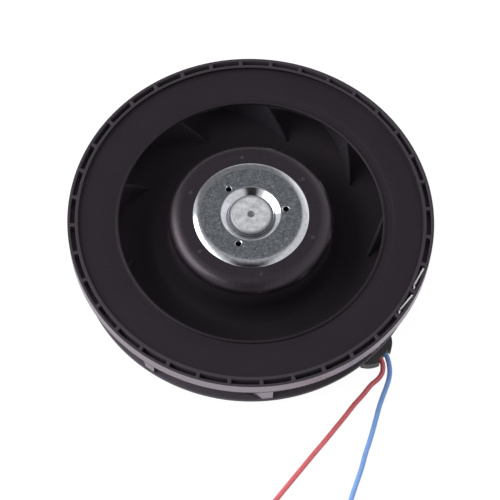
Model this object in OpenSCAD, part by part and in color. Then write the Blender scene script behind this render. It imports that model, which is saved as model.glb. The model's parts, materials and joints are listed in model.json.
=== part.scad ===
// Motorised centrifugal fan of the flat 100 mm class: a backward-curved impeller without a scroll,
// carried on the rotor of an external-rotor DC motor. It lies on its mounting face at z = 0, its axis
// is Z, and the inlet faces +Z. Angles run counter-clockwise seen from the inlet. Sizes in millimetres.

/* [Shroud ring] */
// Outer diameter over the balancing rim
impeller_d = 103.5; // [102:0.1:106]
// Height of the rim's top edge over the mounting face
rim_top_z = 23.65; // [23.2:0.05:24.2]
// Height of the rim
rim_h = 4.4; // [3.8:0.1:5]
// Outer wall of the balancing pockets
rim_outer_wall = 0.75; // [0.6:0.05:1]
// Radial width of the balancing pockets
pocket_w = 1.4; // [1.2:0.05:1.6]
// Inner wall of the balancing pockets
rim_inner_wall = 0.85; // [0.6:0.05:1.1]
// Number of balancing pockets
pocket_count = 36; // [30:1:40]
// Web between two pockets
pocket_web = 0.9; // [0.6:0.05:1.4]
// Floor under the pockets
pocket_floor = 0.9; // [0.6:0.1:1.4]
// Angle of one web
web_angle = 5.1; // [0:0.1:10]
// Drop from the rim's top to the shroud's face beside it
face_drop = 1.1; // [0.8:0.05:1.4]
// Further fall of the shroud's face towards the inlet
face_fall = 0.5; // [0.2:0.05:0.8]
// Thickness of the shroud beside the inlet
shroud_t = 1.2; // [1:0.05:1.5]
// Inlet diameter
inlet_d = 74.6; // [72:0.1:75.4]
// Radius of the bead round the inlet
lip_r = 0.8; // [0.6:0.05:1]
// How far the bead stands over the shroud's face
lip_proud = 0.5; // [0.3:0.05:0.8]
// Thickness of a balancing clip's strip
clip_t = 0.35; // [0.25:0.05:0.45]
// Height of a balancing clip
clip_h = 2.7; // [2:0.1:3]
// Length of a balancing clip
clip_l = 7; // [6:0.1:7.2]
// Length of a balancing clip's bent end
clip_end = 1.1; // [0.8:0.1:1.4]

/* [Impeller] */
// Diameter of the back disc
back_disc_d = 99.6; // [98:0.1:101]
// Height of the back disc's underside
back_disc_z = 7.7; // [7.4:0.05:8]
// Thickness of the back disc
back_disc_t = 1.3; // [1:0.05:1.8]
// Number of blades
blade_count = 9; // [7:1:11]
// Thickness of a blade
blade_t = 1.05; // [0.9:0.05:1.4]
// Diameter through the blades' leading edges at the back disc
blade_foot_d = 67.2; // [66:0.1:70]
// Diameter through the blades' leading edges at the shroud
blade_head_d = 75; // [74.6:0.1:77]
// How far the blades' tips stay inside the back disc's edge
tip_inset = 0.2; // [0.1:0.05:0.6]
// Blade angle at the tip, from the tangent
blade_angle_out = 21; // [20:0.5:24]
// Blade angle at the leading edge's foot, from the tangent
blade_angle_in = 28; // [26:0.5:31]
// Angle of one blade's tip
tip_angle = -2.6; // [-20:0.1:20]
// Outer diameter of the hub
hub_d = 45; // [44:0.1:47]
// Height of the hub's face
hub_top_z = 24.7; // [24.5:0.05:24.9]
// Rounding of the hub's shoulder
hub_shoulder_r = 1.9; // [1:0.1:2.4]
// Fillet between the hub and the back disc
hub_fillet_r = 5; // [3:0.1:7]
// Thickness of the hub's face over the rotor pot's shoulder
hub_lip_t = 2; // [1.7:0.05:2.2]
// Number of gate marks on the hub's face
gate_count = 6; // [3:1:9]
// Circle of the gate marks
gate_pcd = 37.2; // [36.6:0.1:39]
// Diameter of a gate mark
gate_d = 1.2; // [0.8:0.1:1.6]
// Depth of a gate mark
gate_depth = 0.15; // [0.1:0.05:0.4]
// Angle of one gate mark
gate_angle = 40; // [0:1:60]

/* [Rotor] */
// Height of the fan, to the rotor's face
fan_h = 25.4; // [25.2:0.05:25.8]
// Diameter of the rotor's bare face
face_d = 32.9; // [32:0.1:34]
// Thickness of the rotor's face
face_t = 1; // [0.8:0.05:1.2]
// Rounding of the face's edge, less than its stand over the hub
face_edge_r = 0.6; // [0.3:0.05:0.65]
// Outer diameter of the rotor pot
pot_d = 40.8; // [40.2:0.1:41.6]
// Wall of the rotor pot
pot_t = 1.2; // [1:0.05:1.4]
// Height of the rotor pot's open end
pot_open_z = 8.2; // [7.8:0.05:8.6]
// Diameter of the dish in the rotor's face
dish_d = 16.8; // [15.6:0.1:18]
// Depth of the dish
dish_depth = 1.3; // [1.1:0.05:1.5]
// Diameter of the dish's floor, where its sloping wall ends
dish_foot_d = 12.9; // [12.8:0.1:14]
// Diameter of the small holes in the rotor's face
vent_d = 1.5; // [1:0.1:2]
// Hole circle of the small holes
vent_pcd = 20; // [19.4:0.1:24]
// Number of small holes
vent_count = 3; // [3:1:6]
// Angle of the first small hole
vent_angle = 11; // [0:1:60]
// Diameter of the shaft boss
boss_d = 11.9; // [11:0.1:12.6]
// How far the boss stands over the dish
boss_proud = 1.1; // [0.8:0.05:1.25]
// Chamfer of the boss's edge
boss_edge = 0.3; // [0.1:0.05:0.4]
// Diameter of the boss's neck, where the rotor's sheet grips it
boss_neck_d = 8; // [7:0.1:9]
// Diameter of the boss's collar under the sheet
boss_collar_d = 10.4; // [9.6:0.1:11]
// Height of the boss's collar
boss_collar_h = 0.9; // [0.6:0.05:1]
// Diameter of the centre dimple in the boss
dimple_d = 2; // [1:0.1:2.4]
// Depth of the centre dimple
dimple_depth = 0.45; // [0.3:0.05:0.5]
// Shaft diameter
shaft_d = 3; // [2.8:0.05:3.2]
// Radial thickness of the magnet ring
magnet_t = 2; // [1.6:0.05:2.4]
// Height of the magnet ring
magnet_h = 10; // [8:0.1:11]
// Distance from the pot's open end to the magnet
magnet_inset = 0.8; // [0.4:0.1:1.4]

/* [Bearings] */
// Outer diameter of a bearing
bearing_d = 8; // [7.8:0.05:8.4]
// Width of a bearing
bearing_w = 3; // [2.8:0.05:3.2]
// Height of the lower bearing's underside
bearing_z = 2.6; // [2.5:0.05:2.8]
// Distance between the two bearings
bearing_gap = 9.6; // [9.2:0.05:9.9]
// Ball diameter
ball_d = 1.5; // [1.4:0.02:1.6]
// Number of balls in a bearing
ball_count = 7; // [6:1:8]
// Thickness of the preload washer's sheet
preload_t = 0.3; // [0.2:0.05:0.4]
// Height of the preload washer, loaded
preload_h = 0.6; // [0.5:0.05:0.8]
// Thickness of the shim washer
shim_t = 0.3; // [0.2:0.05:0.4]
// Thickness of the retaining ring
circlip_t = 0.4; // [0.3:0.05:0.5]
// Outer diameter of the retaining ring
circlip_d = 5.2; // [4.8:0.1:6]
// Wall of the bearing tube
tube_wall = 0.7; // [0.6:0.05:0.9]

/* [Stator] */
// Air gap between the magnet ring and the stator
air_gap = 0.4; // [0.35:0.05:0.6]
// Height of the stator stack's underside
stack_z = 10; // [9.8:0.05:10.4]
// Height of the stator stack
stack_h = 8; // [7:0.1:8.2]
// Number of poles
pole_count = 4; // [4:1:4]
// Diameter of the stator's core ring
core_d = 14; // [13.4:0.1:14.4]
// Width of a pole's neck
neck_w = 4.5; // [4:0.1:5]
// Radial thickness of a pole shoe
shoe_t = 1.8; // [1.4:0.05:2]
// Arc of a pole shoe, in degrees
shoe_arc = 78; // [72:1:82]
// Thickness of the insulators' end plates
insulator_t = 0.7; // [0.5:0.05:0.8]
// Height of the insulators' walls over their plates
insulator_wall_h = 1.7; // [1:0.1:1.9]
// Thickness of a winding
winding_w = 2.8; // [2:0.1:3]
// Height of a winding's end over the insulator
winding_end = 2; // [1.6:0.1:2.1]

/* [Circuit board] */
// Diameter of the circuit board
board_d = 39.6; // [38:0.1:41]
// Thickness of the circuit board
board_t = 1.2; // [1:0.05:1.3]
// Height of the circuit board's underside
board_z = 4.6; // [4.5:0.05:4.7]
// Radius at which the insulator's legs hold the board
leg_pitch_r = 15.4; // [15.2:0.05:15.6]
// Diameter of a leg
leg_d = 1.6; // [1.4:0.1:1.8]

/* [Mounting flange] */
// Diameter of the flange
flange_d = 62; // [60:0.1:66]
// Thickness of the flange
flange_t = 2.2; // [2:0.05:2.4]
// Floor under the shaft's end
floor_t = 0.8; // [0.6:0.05:0.9]
// Wall of the hub that holds the bearing tube
socket_wall = 1.7; // [1.4:0.05:1.9]
// Inner diameter of the wall round the circuit board
cup_d = 42.4; // [41.8:0.1:43]
// Thickness of the wall round the circuit board
cup_wall = 1.4; // [1:0.05:1.6]
// Height of the wall round the circuit board
cup_top_z = 6.6; // [6:0.05:6.9]
// Hole circle of the mounting screws
screw_pcd = 52; // [51.8:0.1:54]
// Number of mounting screws
screw_count = 4; // [4:1:4]
// Diameter of the tapped holes, at the core of an M3 thread
screw_hole_d = 2.5; // [2.4:0.05:3]
// Diameter of the screw bosses
screw_boss_d = 6.4; // [5.8:0.1:7]
// Height of the screw bosses
screw_boss_z = 5.6; // [5:0.05:6]
// Width of the ribs between the bosses and the wall
rib_w = 2.4; // [1.6:0.1:3]

/* [Lead guide] */
// Direction in which the leads leave the fan
outlet_angle = -40; // [-44:0.5:-36]
// Diameter of a lead
lead_d = 1.45; // [1.3:0.01:1.5]
// Distance between the two leads
lead_pitch = 2.1; // [1.9:0.05:2.2]
// How far the leads lie off the guide's middle
lead_shift = 0.4; // [0:0.05:0.45]
// Height of the leads in the guide
lead_z = 1.65; // [1.6:0.05:1.75]
// Width of the guide's arm
arm_w = 7; // [6.4:0.1:8]
// Width of the groove that holds the leads
groove_w = 4.6; // [4.6:0.1:5]
// Floor under the groove
groove_floor = 0.8; // [0.6:0.05:0.85]
// Width of the arm's key in the flange
key_w = 10; // [9:0.1:12]
// Length of the arm's key
key_l = 2; // [1.5:0.1:2.4]
// Height of the arm without its cover
arm_h = 2.5; // [2.45:0.05:2.7]
// Thickness of the arm's cover
cover_t = 0.8; // [0.6:0.05:1]
// Length of the outlet lug, across the leads
lug_l = 12.8; // [12:0.1:14]
// Width of the outlet lug, along the leads
lug_w = 5.2; // [4.6:0.1:5.8]
// Height of the outlet lug
lug_h = 3.2; // [2.9:0.05:3.4]
// Reach of the outlet lug from the axis
lug_reach = 51.7; // [51:0.05:51.75]
// Radius of the outlet lug's curved front
lug_front_r = 10; // [8:0.5:20]
// Width of the notch round the leads in the lug's front
notch_w = 4.8; // [4.7:0.1:6]
// Depth of the notch
notch_d = 1.2; // [0.8:0.1:1.5]

/* [Coiled leads] */
// Radius at the middle of a coil's turns
coil_r = 8; // [7.3:0.05:8.6]
// Thickness of a coil's tie
tie_t = 0.4; // [0.3:0.05:0.5]
// Width of a coil's tie
tie_w = 2.2; // [1.6:0.1:3]
// Length of a lead's tinned end
tip_l = 6; // [4:0.1:7]
// Diameter of a lead's tinned end
tip_d = 0.8; // [0.6:0.02:1]

/* [Hidden] */
$fn = 96;

// Clearances: between parts that turn past each other, in the bearings, and round loose pieces
run_clear = 0.3;
race_clear = 0.03;
cage_clear = 0.2;
slip_clear = 0.1;
// A cut runs past the face that it opens by this much
over = 1;

// Shroud ring
impeller_r = impeller_d / 2;
inlet_r = inlet_d / 2;
pocket_out_r = impeller_r - rim_outer_wall;
pocket_in_r = pocket_out_r - pocket_w;
ring_in_r = pocket_in_r - rim_inner_wall;
rim_bottom_z = rim_top_z - rim_h;
pocket_floor_z = rim_bottom_z + pocket_floor;
face_ring_z = rim_top_z - face_drop;
face_inlet_z = face_ring_z - face_fall;
shroud_under_z = face_inlet_z - shroud_t;
lip_c = [inlet_r + lip_r, face_inlet_z + lip_proud - lip_r];
pocket_pitch = 360 / pocket_count;
// The balancing clips sit in the third and fourth pocket before the reference web. Each is a strip on its
// edge that slants from the pocket's outer wall to its inner wall and is bent back there, at a notch.
clip_pockets = [-3, -4];
clip_clear = 0.03;
clip_turn = 24;
clip_notch_w = 0.35;
clip_notch_d = 0.5;
clip_half = min(clip_l, 2 * pocket_in_r * sin(pocket_pitch / 2) - pocket_web - 2 * slip_clear) / 2;
clip_bend_y = clip_end - clip_half;
clip_line = let (bend = [sqrt((pocket_in_r + clip_clear) ^ 2 - clip_bend_y ^ 2) + clip_t / 2, clip_bend_y])
    [[sqrt((pocket_out_r - clip_clear) ^ 2 - clip_half ^ 2) - clip_t / 2, clip_half], bend,
        bend + clip_end * [sin(clip_turn), -cos(clip_turn)]];

// Impeller
back_disc_r = back_disc_d / 2;
back_disc_top_z = back_disc_z + back_disc_t;
hub_r = hub_d / 2;
tip_r = back_disc_r - tip_inset;
blade_foot_r = blade_foot_d / 2;
blade_head_r = blade_head_d / 2;
// A blade's mean line is one arc that meets both radii at the stated angles
blade_arc_r = (tip_r ^ 2 - blade_foot_r ^ 2)
    / (2 * (tip_r * cos(blade_angle_out) - blade_foot_r * cos(blade_angle_in)));
blade_arc_c = [tip_r - blade_arc_r * cos(blade_angle_out), blade_arc_r * sin(blade_angle_out)];
blade_sweep = 60;
// How far the leading edges lean out for each millimetre of height
blade_lean = (blade_head_r - blade_foot_r) / (shroud_under_z - back_disc_top_z);

// Rotor
face_r = face_d / 2;
pot_r = pot_d / 2;
pot_in_r = pot_r - pot_t;
pot_shoulder_z = hub_top_z - hub_lip_t;
dish_r = dish_d / 2;
dish_foot_r = dish_foot_d / 2;
dish_z = fan_h - dish_depth;
dish_under_z = dish_z - face_t;
boss_r = boss_d / 2;
boss_top_z = dish_z + boss_proud;
boss_neck_r = boss_neck_d / 2;
boss_collar_r = boss_collar_d / 2;
magnet_r = pot_in_r - magnet_t;
magnet_z = pot_open_z + magnet_inset;
countersink = 0.4;
shaft_r = shaft_d / 2;

// Bearings
upper_z = bearing_z + bearing_w + bearing_gap;
bearing_r = bearing_d / 2;
ball_r = ball_d / 2;
pitch_r = (shaft_r + bearing_r) / 2;
// The rings' shoulders stand this share of a ball's radius inside and outside the pitch circle
ring_shoulder = 0.68 * ball_r;
inner_ring_r = pitch_r - ring_shoulder;
outer_ring_r = pitch_r + ring_shoulder;
cage_half = ring_shoulder - cage_clear;
cage_inset = 0.25;
cage_top = bearing_w / 2 - cage_inset;
stem_z = upper_z + bearing_w + preload_h;
stem_wall = 1.1;
stem_r = shaft_r + stem_wall;
circlip_z = bearing_z - shim_t - circlip_t;
circlip_groove = 0.3;
circlip_r = circlip_d / 2;
shaft_stub = 0.6;
shaft_end_z = circlip_z - shaft_stub;
shaft_chamfer = 0.3;
tube_r = bearing_r + tube_wall;
tube_land = 0.6;
tube_land_r = bearing_r - tube_land;
tube_top_z = upper_z + bearing_w + preload_h / 2;

// Stator
stator_r = magnet_r - air_gap;
shoe_in_r = stator_r - shoe_t;
core_r = core_d / 2;
stack_top_z = stack_z + stack_h;
insulator_low_z = stack_z - insulator_t;
insulator_top_z = stack_top_z + insulator_t;
slot_lining = 0.35;
winding_y = neck_w / 2 + slot_lining + winding_w;
winding_gap = 0.4;
winding_in_x = core_r + winding_gap;
winding_out_x = sqrt((shoe_in_r - slot_lining) ^ 2 - winding_y ^ 2);
winding_corner_r = 1.2;
insulator_wall_t = 0.8;
leg_angle = 30;
pin_d = leg_d / 2;

// Circuit board
board_r = board_d / 2;
board_top_z = board_z + board_t;
socket_r = tube_r + socket_wall;
// Packages on the board: size along the radius, across it, and height
hall_size = [1.6, 2.9, 1.1];
chip_size = [4, 5, 1.5];
capacitor_size = [3.5, 2.8, 1.9];
diode_size = [2.6, 4.5, 1.9];
resistor_size = [1.6, 0.8, 0.5];
// Their places: the ring under the board, the sensor's distance from the edge, angles from the outlet
package_r = 13;
hall_inset = 0.8;
hall_angle = 135;
chip_angles = [90, 140];
capacitor_angle = 40;
diode_angle = -40;
resistor_angle = 190;
resistor_step = 18;
resistor_count = 6;

// Mounting flange
flange_r = flange_d / 2;
cup_r = cup_d / 2;
cup_out_r = cup_r + cup_wall;
screw_angle = outlet_angle + 180 / screw_count;
// The arm's key starts outside the wall round the board
key_gap = 0.6;
key_r = cup_out_r + key_gap;
lead_gate_clear = 0.5;
lead_gate_w = groove_w + 2 * lead_gate_clear;

// Lead guide
lead_r = lead_d / 2;
lug_r = lug_w / 2;
lug_c = lug_reach - lug_r;
lug_span = lug_l - lug_w;
cover_end = lug_reach - lug_w;

// Coiled leads: each coil has two rows of two turns, and the last turn lies on top
coil_slack = 0.03;
coil_half = lead_d + coil_slack;
coil_row = lead_d;
coil_rise = lead_d * 0.87;
coil_top_r = lead_d * 0.5;
coil_row_z = tie_t + lead_r;
coil_end_z = coil_row_z + coil_row + coil_rise;
tie_arc = tie_w / coil_r * 180 / PI;
red_coil_c = [10.1, -89.7];
blue_coil_c = [35.2, -89.5];
tie_angle = -90;
red_tip_angle = 94;
blue_tip_angle = 156;

// Routes of the two leads in the guide: distance from the axis along the outlet, height. The leads run
// from the circuit board's underside, over the flange and into the guide's groove, to the outlet lug.
held_route = [[17, 3.8], [19.5, 3.5], [22, 3.3], [24.5, 2.9], [27, 2.2], [30, 1.7], [34, 1.65], [38, 1.65],
    [42, 1.65], [46, 1.65], [49, 1.65]];
// Routes of the free leads: x, y, z from inside the outlet lug to their coils
red_route = [[37.12, -31.99, 1.65], [38.27, -32.96, 1.65], [38.75, -33.95, 1.6], [38.95, -35.1, 1.5],
    [38.93, -36.25, 1.3], [38.68, -37.4, 1.1], [37.85, -38.75, 0.9], [36.1, -40.5, 0.8],
    [33.7, -43.7, 0.75], [31.1, -47, 0.75],
    [28.8, -50.3, 0.75], [26.3, -53.7, 0.75], [23.2, -57.7, 0.75], [20, -61.7, 0.75], [16.5, -66.4, 0.75],
    [13, -71.1, 0.75], [9.6, -75.7, 0.75], [6.4, -80, 0.9], [3.1, -84.5, 1.13]];
blue_route = [[38.47, -30.39, 1.65], [39.62, -31.35, 1.65], [40.3, -32.2, 1.65], [40.85, -33.4, 1.55],
    [41.2, -34.9, 1.4], [41.38, -36.6, 1.15], [41.1, -38.7, 0.95], [40.5, -40.9, 0.8],
    [39.5, -43.7, 0.75], [38.4, -47.2, 0.75],
    [37.5, -50.8, 0.75], [36.6, -54.5, 0.75], [35.7, -57.8, 0.75], [34.8, -61.1, 0.75], [33.6, -65.7, 0.75],
    [32.2, -70.3, 0.75], [30.7, -74.9, 0.75], [29.2, -79.5, 0.85], [26.8, -86.9, 1.13]];

BLACK = "#2c292c";
STEEL = "#b9bcbd";
CAST = "#c8c8c6";
GREY = "#3f4340";
RED = "#c8505a";
BLUE = "#5f86c8";
COPPER = "#b06a35";
CHIP = "#1d1d1f";

// Shared shapes

// A rectangle in the radius and height plane, to be revolved
module band(r_in, r_out, z0, z1) {
    translate([r_in, z0]) square([r_out - r_in, z1 - z0]);
}

module ring(r_in, r_out, z0, z1) {
    rotate_extrude() band(r_in, r_out, z0, z1);
}

module around(count, start = 0) {
    for (i = [0:count - 1]) rotate(start + i * 360 / count) children();
}

// A pie slice that reaches past the fan, from angle a0 to a1
module sector(a0, a1, reach) {
    steps = ceil((a1 - a0) / 30);
    polygon(concat([[0, 0]], [for (i = [0:steps])
        let (a = a0 + (a1 - a0) * i / steps) 2 * reach * [cos(a), sin(a)]]));
}

module rounded_rect(w, h, r) {
    square([w - 2 * r, h], center = true);
    square([w, h - 2 * r], center = true);
    for (x = [-1, 1], y = [-1, 1]) translate([x * (w / 2 - r), y * (h / 2 - r)]) circle(r);
}

// A bar with round ends, its length along Y
module stadium(length, r) {
    square([2 * r, length], center = true);
    for (y = [-1, 1]) translate([0, y * length / 2]) circle(r);
}

function unit(v) = v / norm(v);
function along(route, i) = unit(route[min(i + 1, len(route) - 1)] - route[max(i - 1, 0)]);
function beside(t) = unit(cross(t, [0, 0, 1]));
function over_it(t) = cross(beside(t), t);

// A round cord of 8 sides through the points of a route
module cord(route, r) {
    sides = 8;
    last = len(route) - 1;
    points = [for (i = [0:last], k = [0:sides - 1])
        let (t = along(route, i), a = k * 360 / sides)
        route[i] + r * (cos(a) * beside(t) + sin(a) * over_it(t))];
    walls = [for (i = [0:last - 1], k = [0:sides - 1])
        let (a = i * sides + k, b = i * sides + (k + 1) % sides)
        [a, b, b + sides, a + sides]];
    caps = [[for (k = [sides - 1:-1:0]) k], [for (k = [0:sides - 1]) last * sides + k]];
    polyhedron(points, concat(walls, caps));
}

// The shroud ring and what it carries

module shroud_section() {
    band(ring_in_r, impeller_r, rim_bottom_z, rim_top_z);
    polygon([[lip_c.x, shroud_under_z], [ring_in_r, shroud_under_z], [ring_in_r, face_ring_z],
        [lip_c.x, face_inlet_z]]);
    translate(lip_c) circle(lip_r);
}

module pockets() {
    difference() {
        ring(pocket_in_r, pocket_out_r, pocket_floor_z, rim_top_z + over);
        around(pocket_count, web_angle)
            translate([ring_in_r, -pocket_web / 2, rim_bottom_z]) cube([rim_h, pocket_web, rim_h + 2 * over]);
    }
}

module shroud_ring() {
    color(BLACK) difference() {
        rotate_extrude() shroud_section();
        pockets();
    }
}

function across(a, b) = unit([b.y - a.y, a.x - b.x]);

module clip_outline() {
    long = across(clip_line[0], clip_line[1]);
    short = across(clip_line[1], clip_line[2]);
    side = [long, (long + short) / (1 + long * short), short] * clip_t / 2;
    polygon(concat([for (i = [0:2]) clip_line[i] + side[i]], [for (i = [2:-1:0]) clip_line[i] - side[i]]));
}

module balance_clips() {
    color(STEEL) for (i = clip_pockets)
        rotate(web_angle + (i + 0.5) * pocket_pitch) translate([0, 0, pocket_floor_z]) difference() {
            linear_extrude(clip_h) clip_outline();
            translate([pocket_in_r, clip_bend_y - clip_notch_w / 2, clip_h - clip_notch_d])
                cube([pocket_w, clip_notch_w, clip_notch_d + over]);
        }
}

// The impeller

module blade_outline() {
    intersection() {
        translate(blade_arc_c) difference() {
            circle(blade_arc_r + blade_t / 2);
            circle(blade_arc_r - blade_t / 2);
        }
        circle(tip_r);
        sector(-blade_sweep, blade_sweep / 4, tip_r);
    }
}

module hub_section() {
    difference() {
        union() {
            band(0, hub_r - hub_shoulder_r, back_disc_z, hub_top_z);
            band(0, hub_r, back_disc_z, hub_top_z - hub_shoulder_r);
            translate([hub_r - hub_shoulder_r, hub_top_z - hub_shoulder_r]) circle(hub_shoulder_r);
            band(0, back_disc_r, back_disc_z, back_disc_top_z);
            difference() {
                band(hub_r - over, hub_r + hub_fillet_r, back_disc_z, back_disc_top_z + hub_fillet_r);
                translate([hub_r + hub_fillet_r, back_disc_top_z + hub_fillet_r]) circle(hub_fillet_r);
            }
        }
        band(-over, pot_r, back_disc_z - over, pot_shoulder_z);
        band(-over, face_r, back_disc_z - over, hub_top_z + over);
    }
}

module impeller() {
    color(BLACK) {
        difference() {
            rotate_extrude() hub_section();
            around(gate_count, gate_angle) translate([gate_pcd / 2, 0, hub_top_z - gate_depth])
                cylinder(d = gate_d, h = gate_depth + over);
        }
        difference() {
            around(blade_count, tip_angle) translate([0, 0, back_disc_z])
                linear_extrude(shroud_under_z - back_disc_z) blade_outline();
            ring(ring_in_r, impeller_r, rim_bottom_z, rim_top_z);
            translate([0, 0, back_disc_z - over]) cylinder(
                r1 = blade_foot_r - blade_lean * (back_disc_t + over), r2 = blade_head_r + blade_lean * over,
                h = shroud_under_z - back_disc_z + 2 * over);
        }
    }
}

// The rotor

module pot_section() {
    difference() {
        union() {
            band(0, pot_r, pot_open_z, pot_shoulder_z);
            band(0, face_r, pot_shoulder_z, fan_h - face_edge_r);
            band(0, face_r - face_edge_r, pot_shoulder_z, fan_h);
            translate([face_r - face_edge_r, fan_h - face_edge_r]) circle(face_edge_r);
        }
        band(-over, pot_in_r, pot_open_z - over, pot_shoulder_z - pot_t);
        difference() {
            band(-over, face_r - pot_t, pot_shoulder_z - pot_t - over, fan_h - face_t);
            band(-over, dish_r + face_t, dish_under_z, fan_h);
        }
        polygon([[-over, dish_z], [dish_foot_r, dish_z], [dish_r, fan_h], [dish_r, fan_h + over],
            [-over, fan_h + over]]);
        band(-over, boss_neck_r, dish_under_z - over, fan_h);
    }
}

module rotor_pot() {
    color(STEEL) difference() {
        rotate_extrude() pot_section();
        around(vent_count, vent_angle) translate([vent_pcd / 2, 0, fan_h]) {
            translate([0, 0, -face_t - over]) cylinder(d = vent_d, h = face_t + 2 * over);
            translate([0, 0, -countersink])
                cylinder(r1 = vent_d / 2, r2 = vent_d / 2 + countersink, h = countersink);
        }
    }
}

module shaft_boss() {
    color(CAST) difference() {
        rotate_extrude() {
            polygon([[0, dish_z], [boss_r, dish_z], [boss_r, boss_top_z - boss_edge],
                [boss_r - boss_edge, boss_top_z], [dimple_d / 2, boss_top_z],
                [0, boss_top_z - dimple_depth]]);
            band(0, boss_neck_r, dish_under_z - boss_collar_h, dish_z);
            band(0, boss_collar_r, dish_under_z - boss_collar_h, dish_under_z);
            band(0, stem_r, stem_z, dish_z);
        }
        translate([0, 0, stem_z - over]) cylinder(r = shaft_r, h = dish_z - stem_z + over);
    }
}

module shaft() {
    color(STEEL) rotate_extrude() difference() {
        union() {
            band(0, shaft_r, shaft_end_z + shaft_chamfer, dish_z);
            polygon([[0, shaft_end_z], [shaft_r - shaft_chamfer, shaft_end_z],
                [shaft_r, shaft_end_z + shaft_chamfer], [0, shaft_end_z + shaft_chamfer]]);
        }
        band(shaft_r - circlip_groove, shaft_r + over, circlip_z, circlip_z + circlip_t);
    }
}

module magnet_ring() {
    color("#3a3533") ring(magnet_r, pot_in_r, magnet_z, magnet_z + magnet_h);
}

// The bearings and what holds them

module bearing_inner(z) {
    color(STEEL) rotate_extrude() difference() {
        band(shaft_r, inner_ring_r, z, z + bearing_w);
        translate([pitch_r, z + bearing_w / 2]) circle(ball_r + race_clear);
    }
}

module bearing_outer(z) {
    color(STEEL) rotate_extrude() difference() {
        band(outer_ring_r, bearing_r, z, z + bearing_w);
        translate([pitch_r, z + bearing_w / 2]) circle(ball_r + race_clear);
    }
}

module bearing_balls(z) {
    color(STEEL) around(ball_count) translate([pitch_r, 0, z + bearing_w / 2]) sphere(ball_r);
}

// A crown cage: its closed side lies over the balls
module bearing_cage(z) {
    mid_z = z + bearing_w / 2;
    color("#d8c9a0") difference() {
        ring(pitch_r - cage_half, pitch_r + cage_half, mid_z - ball_r / 2, mid_z + cage_top);
        around(ball_count) translate([pitch_r, 0, mid_z]) sphere(ball_r + race_clear);
    }
}

module upper_bearing_inner() {
    bearing_inner(upper_z);
}

module lower_bearing_inner() {
    bearing_inner(bearing_z);
}

module upper_bearing_outer() {
    bearing_outer(upper_z);
}

module lower_bearing_outer() {
    bearing_outer(bearing_z);
}

module upper_bearing_balls() {
    bearing_balls(upper_z);
}

module lower_bearing_balls() {
    bearing_balls(bearing_z);
}

module upper_bearing_cage() {
    bearing_cage(upper_z);
}

module lower_bearing_cage() {
    bearing_cage(bearing_z);
}

// A disc spring between the upper bearing's inner ring and the boss
module preload_washer() {
    z0 = upper_z + bearing_w;
    r0 = shaft_r + slip_clear;
    color(STEEL) rotate_extrude()
        polygon([[r0, z0], [r0, z0 + preload_t], [stem_r, stem_z], [stem_r, stem_z - preload_t]]);
}

module shim_washer() {
    color(STEEL) ring(shaft_r + slip_clear, inner_ring_r, bearing_z - shim_t, bearing_z);
}

module retaining_ring() {
    color(STEEL) difference() {
        ring(shaft_r - circlip_groove, circlip_r, circlip_z, circlip_z + circlip_t);
        translate([0, -shaft_r / 2, circlip_z - over]) cube([circlip_d, shaft_r, circlip_t + 2 * over]);
    }
}

module bearing_tube() {
    color("#b89b5e") rotate_extrude() difference() {
        band(tube_land_r, tube_r, floor_t, tube_top_z);
        band(tube_land_r - over, bearing_r, floor_t - over, bearing_z + bearing_w);
        band(tube_land_r - over, bearing_r, upper_z, tube_top_z + over);
    }
}

// The stator

module poles_outline(shoe_out_r) {
    circle(core_r);
    around(pole_count) {
        translate([0, -neck_w / 2]) square([shoe_in_r + shoe_t / 2, neck_w]);
        intersection() {
            difference() {
                circle(shoe_out_r);
                circle(shoe_in_r);
            }
            sector(-shoe_arc / 2, shoe_arc / 2, stator_r);
        }
    }
}

module stator_stack() {
    color("#8d8f92") translate([0, 0, stack_z]) linear_extrude(stack_h) difference() {
        poles_outline(stator_r);
        circle(tube_r);
    }
}

module insulator_plate(z) {
    translate([0, 0, z]) linear_extrude(insulator_t) difference() {
        poles_outline(stator_r - run_clear);
        circle(tube_r);
    }
}

// The walls that keep the windings between the core and the pole shoes
module insulator_walls(z0, z1) {
    ring(tube_r, core_r, z0, z1);
    translate([0, 0, z0]) linear_extrude(z1 - z0) around(pole_count) intersection() {
        difference() {
            circle(shoe_in_r + insulator_wall_t);
            circle(shoe_in_r);
        }
        sector(-shoe_arc / 2, shoe_arc / 2, stator_r);
    }
}

module insulator_upper() {
    color("#d9d6cc") {
        insulator_plate(stack_top_z);
        insulator_walls(insulator_top_z, insulator_top_z + insulator_wall_h);
    }
}

module on_legs() {
    around(pole_count, leg_angle) translate([leg_pitch_r, 0, 0]) children();
}

module insulator_lower() {
    color("#d9d6cc") {
        insulator_plate(insulator_low_z);
        on_legs() translate([0, 0, board_top_z]) cylinder(d = leg_d, h = insulator_low_z - board_top_z);
        on_legs() translate([0, 0, board_z - slip_clear]) cylinder(d = pin_d, h = stack_z - board_z);
    }
}

module winding_outline() {
    inner_h = insulator_top_z - insulator_low_z;
    difference() {
        rounded_rect(inner_h + 2 * winding_end, 2 * winding_y, winding_corner_r);
        square([inner_h, neck_w + 2 * slot_lining], center = true);
    }
}

module windings() {
    color(COPPER) around(pole_count)
        translate([winding_in_x, 0, (insulator_low_z + insulator_top_z) / 2]) rotate([0, 90, 0])
            linear_extrude(winding_out_x - winding_in_x) winding_outline();
}

// The circuit board and its pieces

module circuit_board() {
    color("#2f6b45") difference() {
        ring(socket_r + run_clear, board_r, board_z, board_top_z);
        on_legs() translate([0, 0, board_z - over]) cylinder(d = pin_d + slip_clear, h = board_t + 2 * over);
    }
}

// A package on the board's underside, at an angle from the outlet
module under_board(angle, size) {
    rotate(outlet_angle + angle)
        translate([package_r - size.x / 2, -size.y / 2, board_z - size.z]) cube(size);
}

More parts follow.
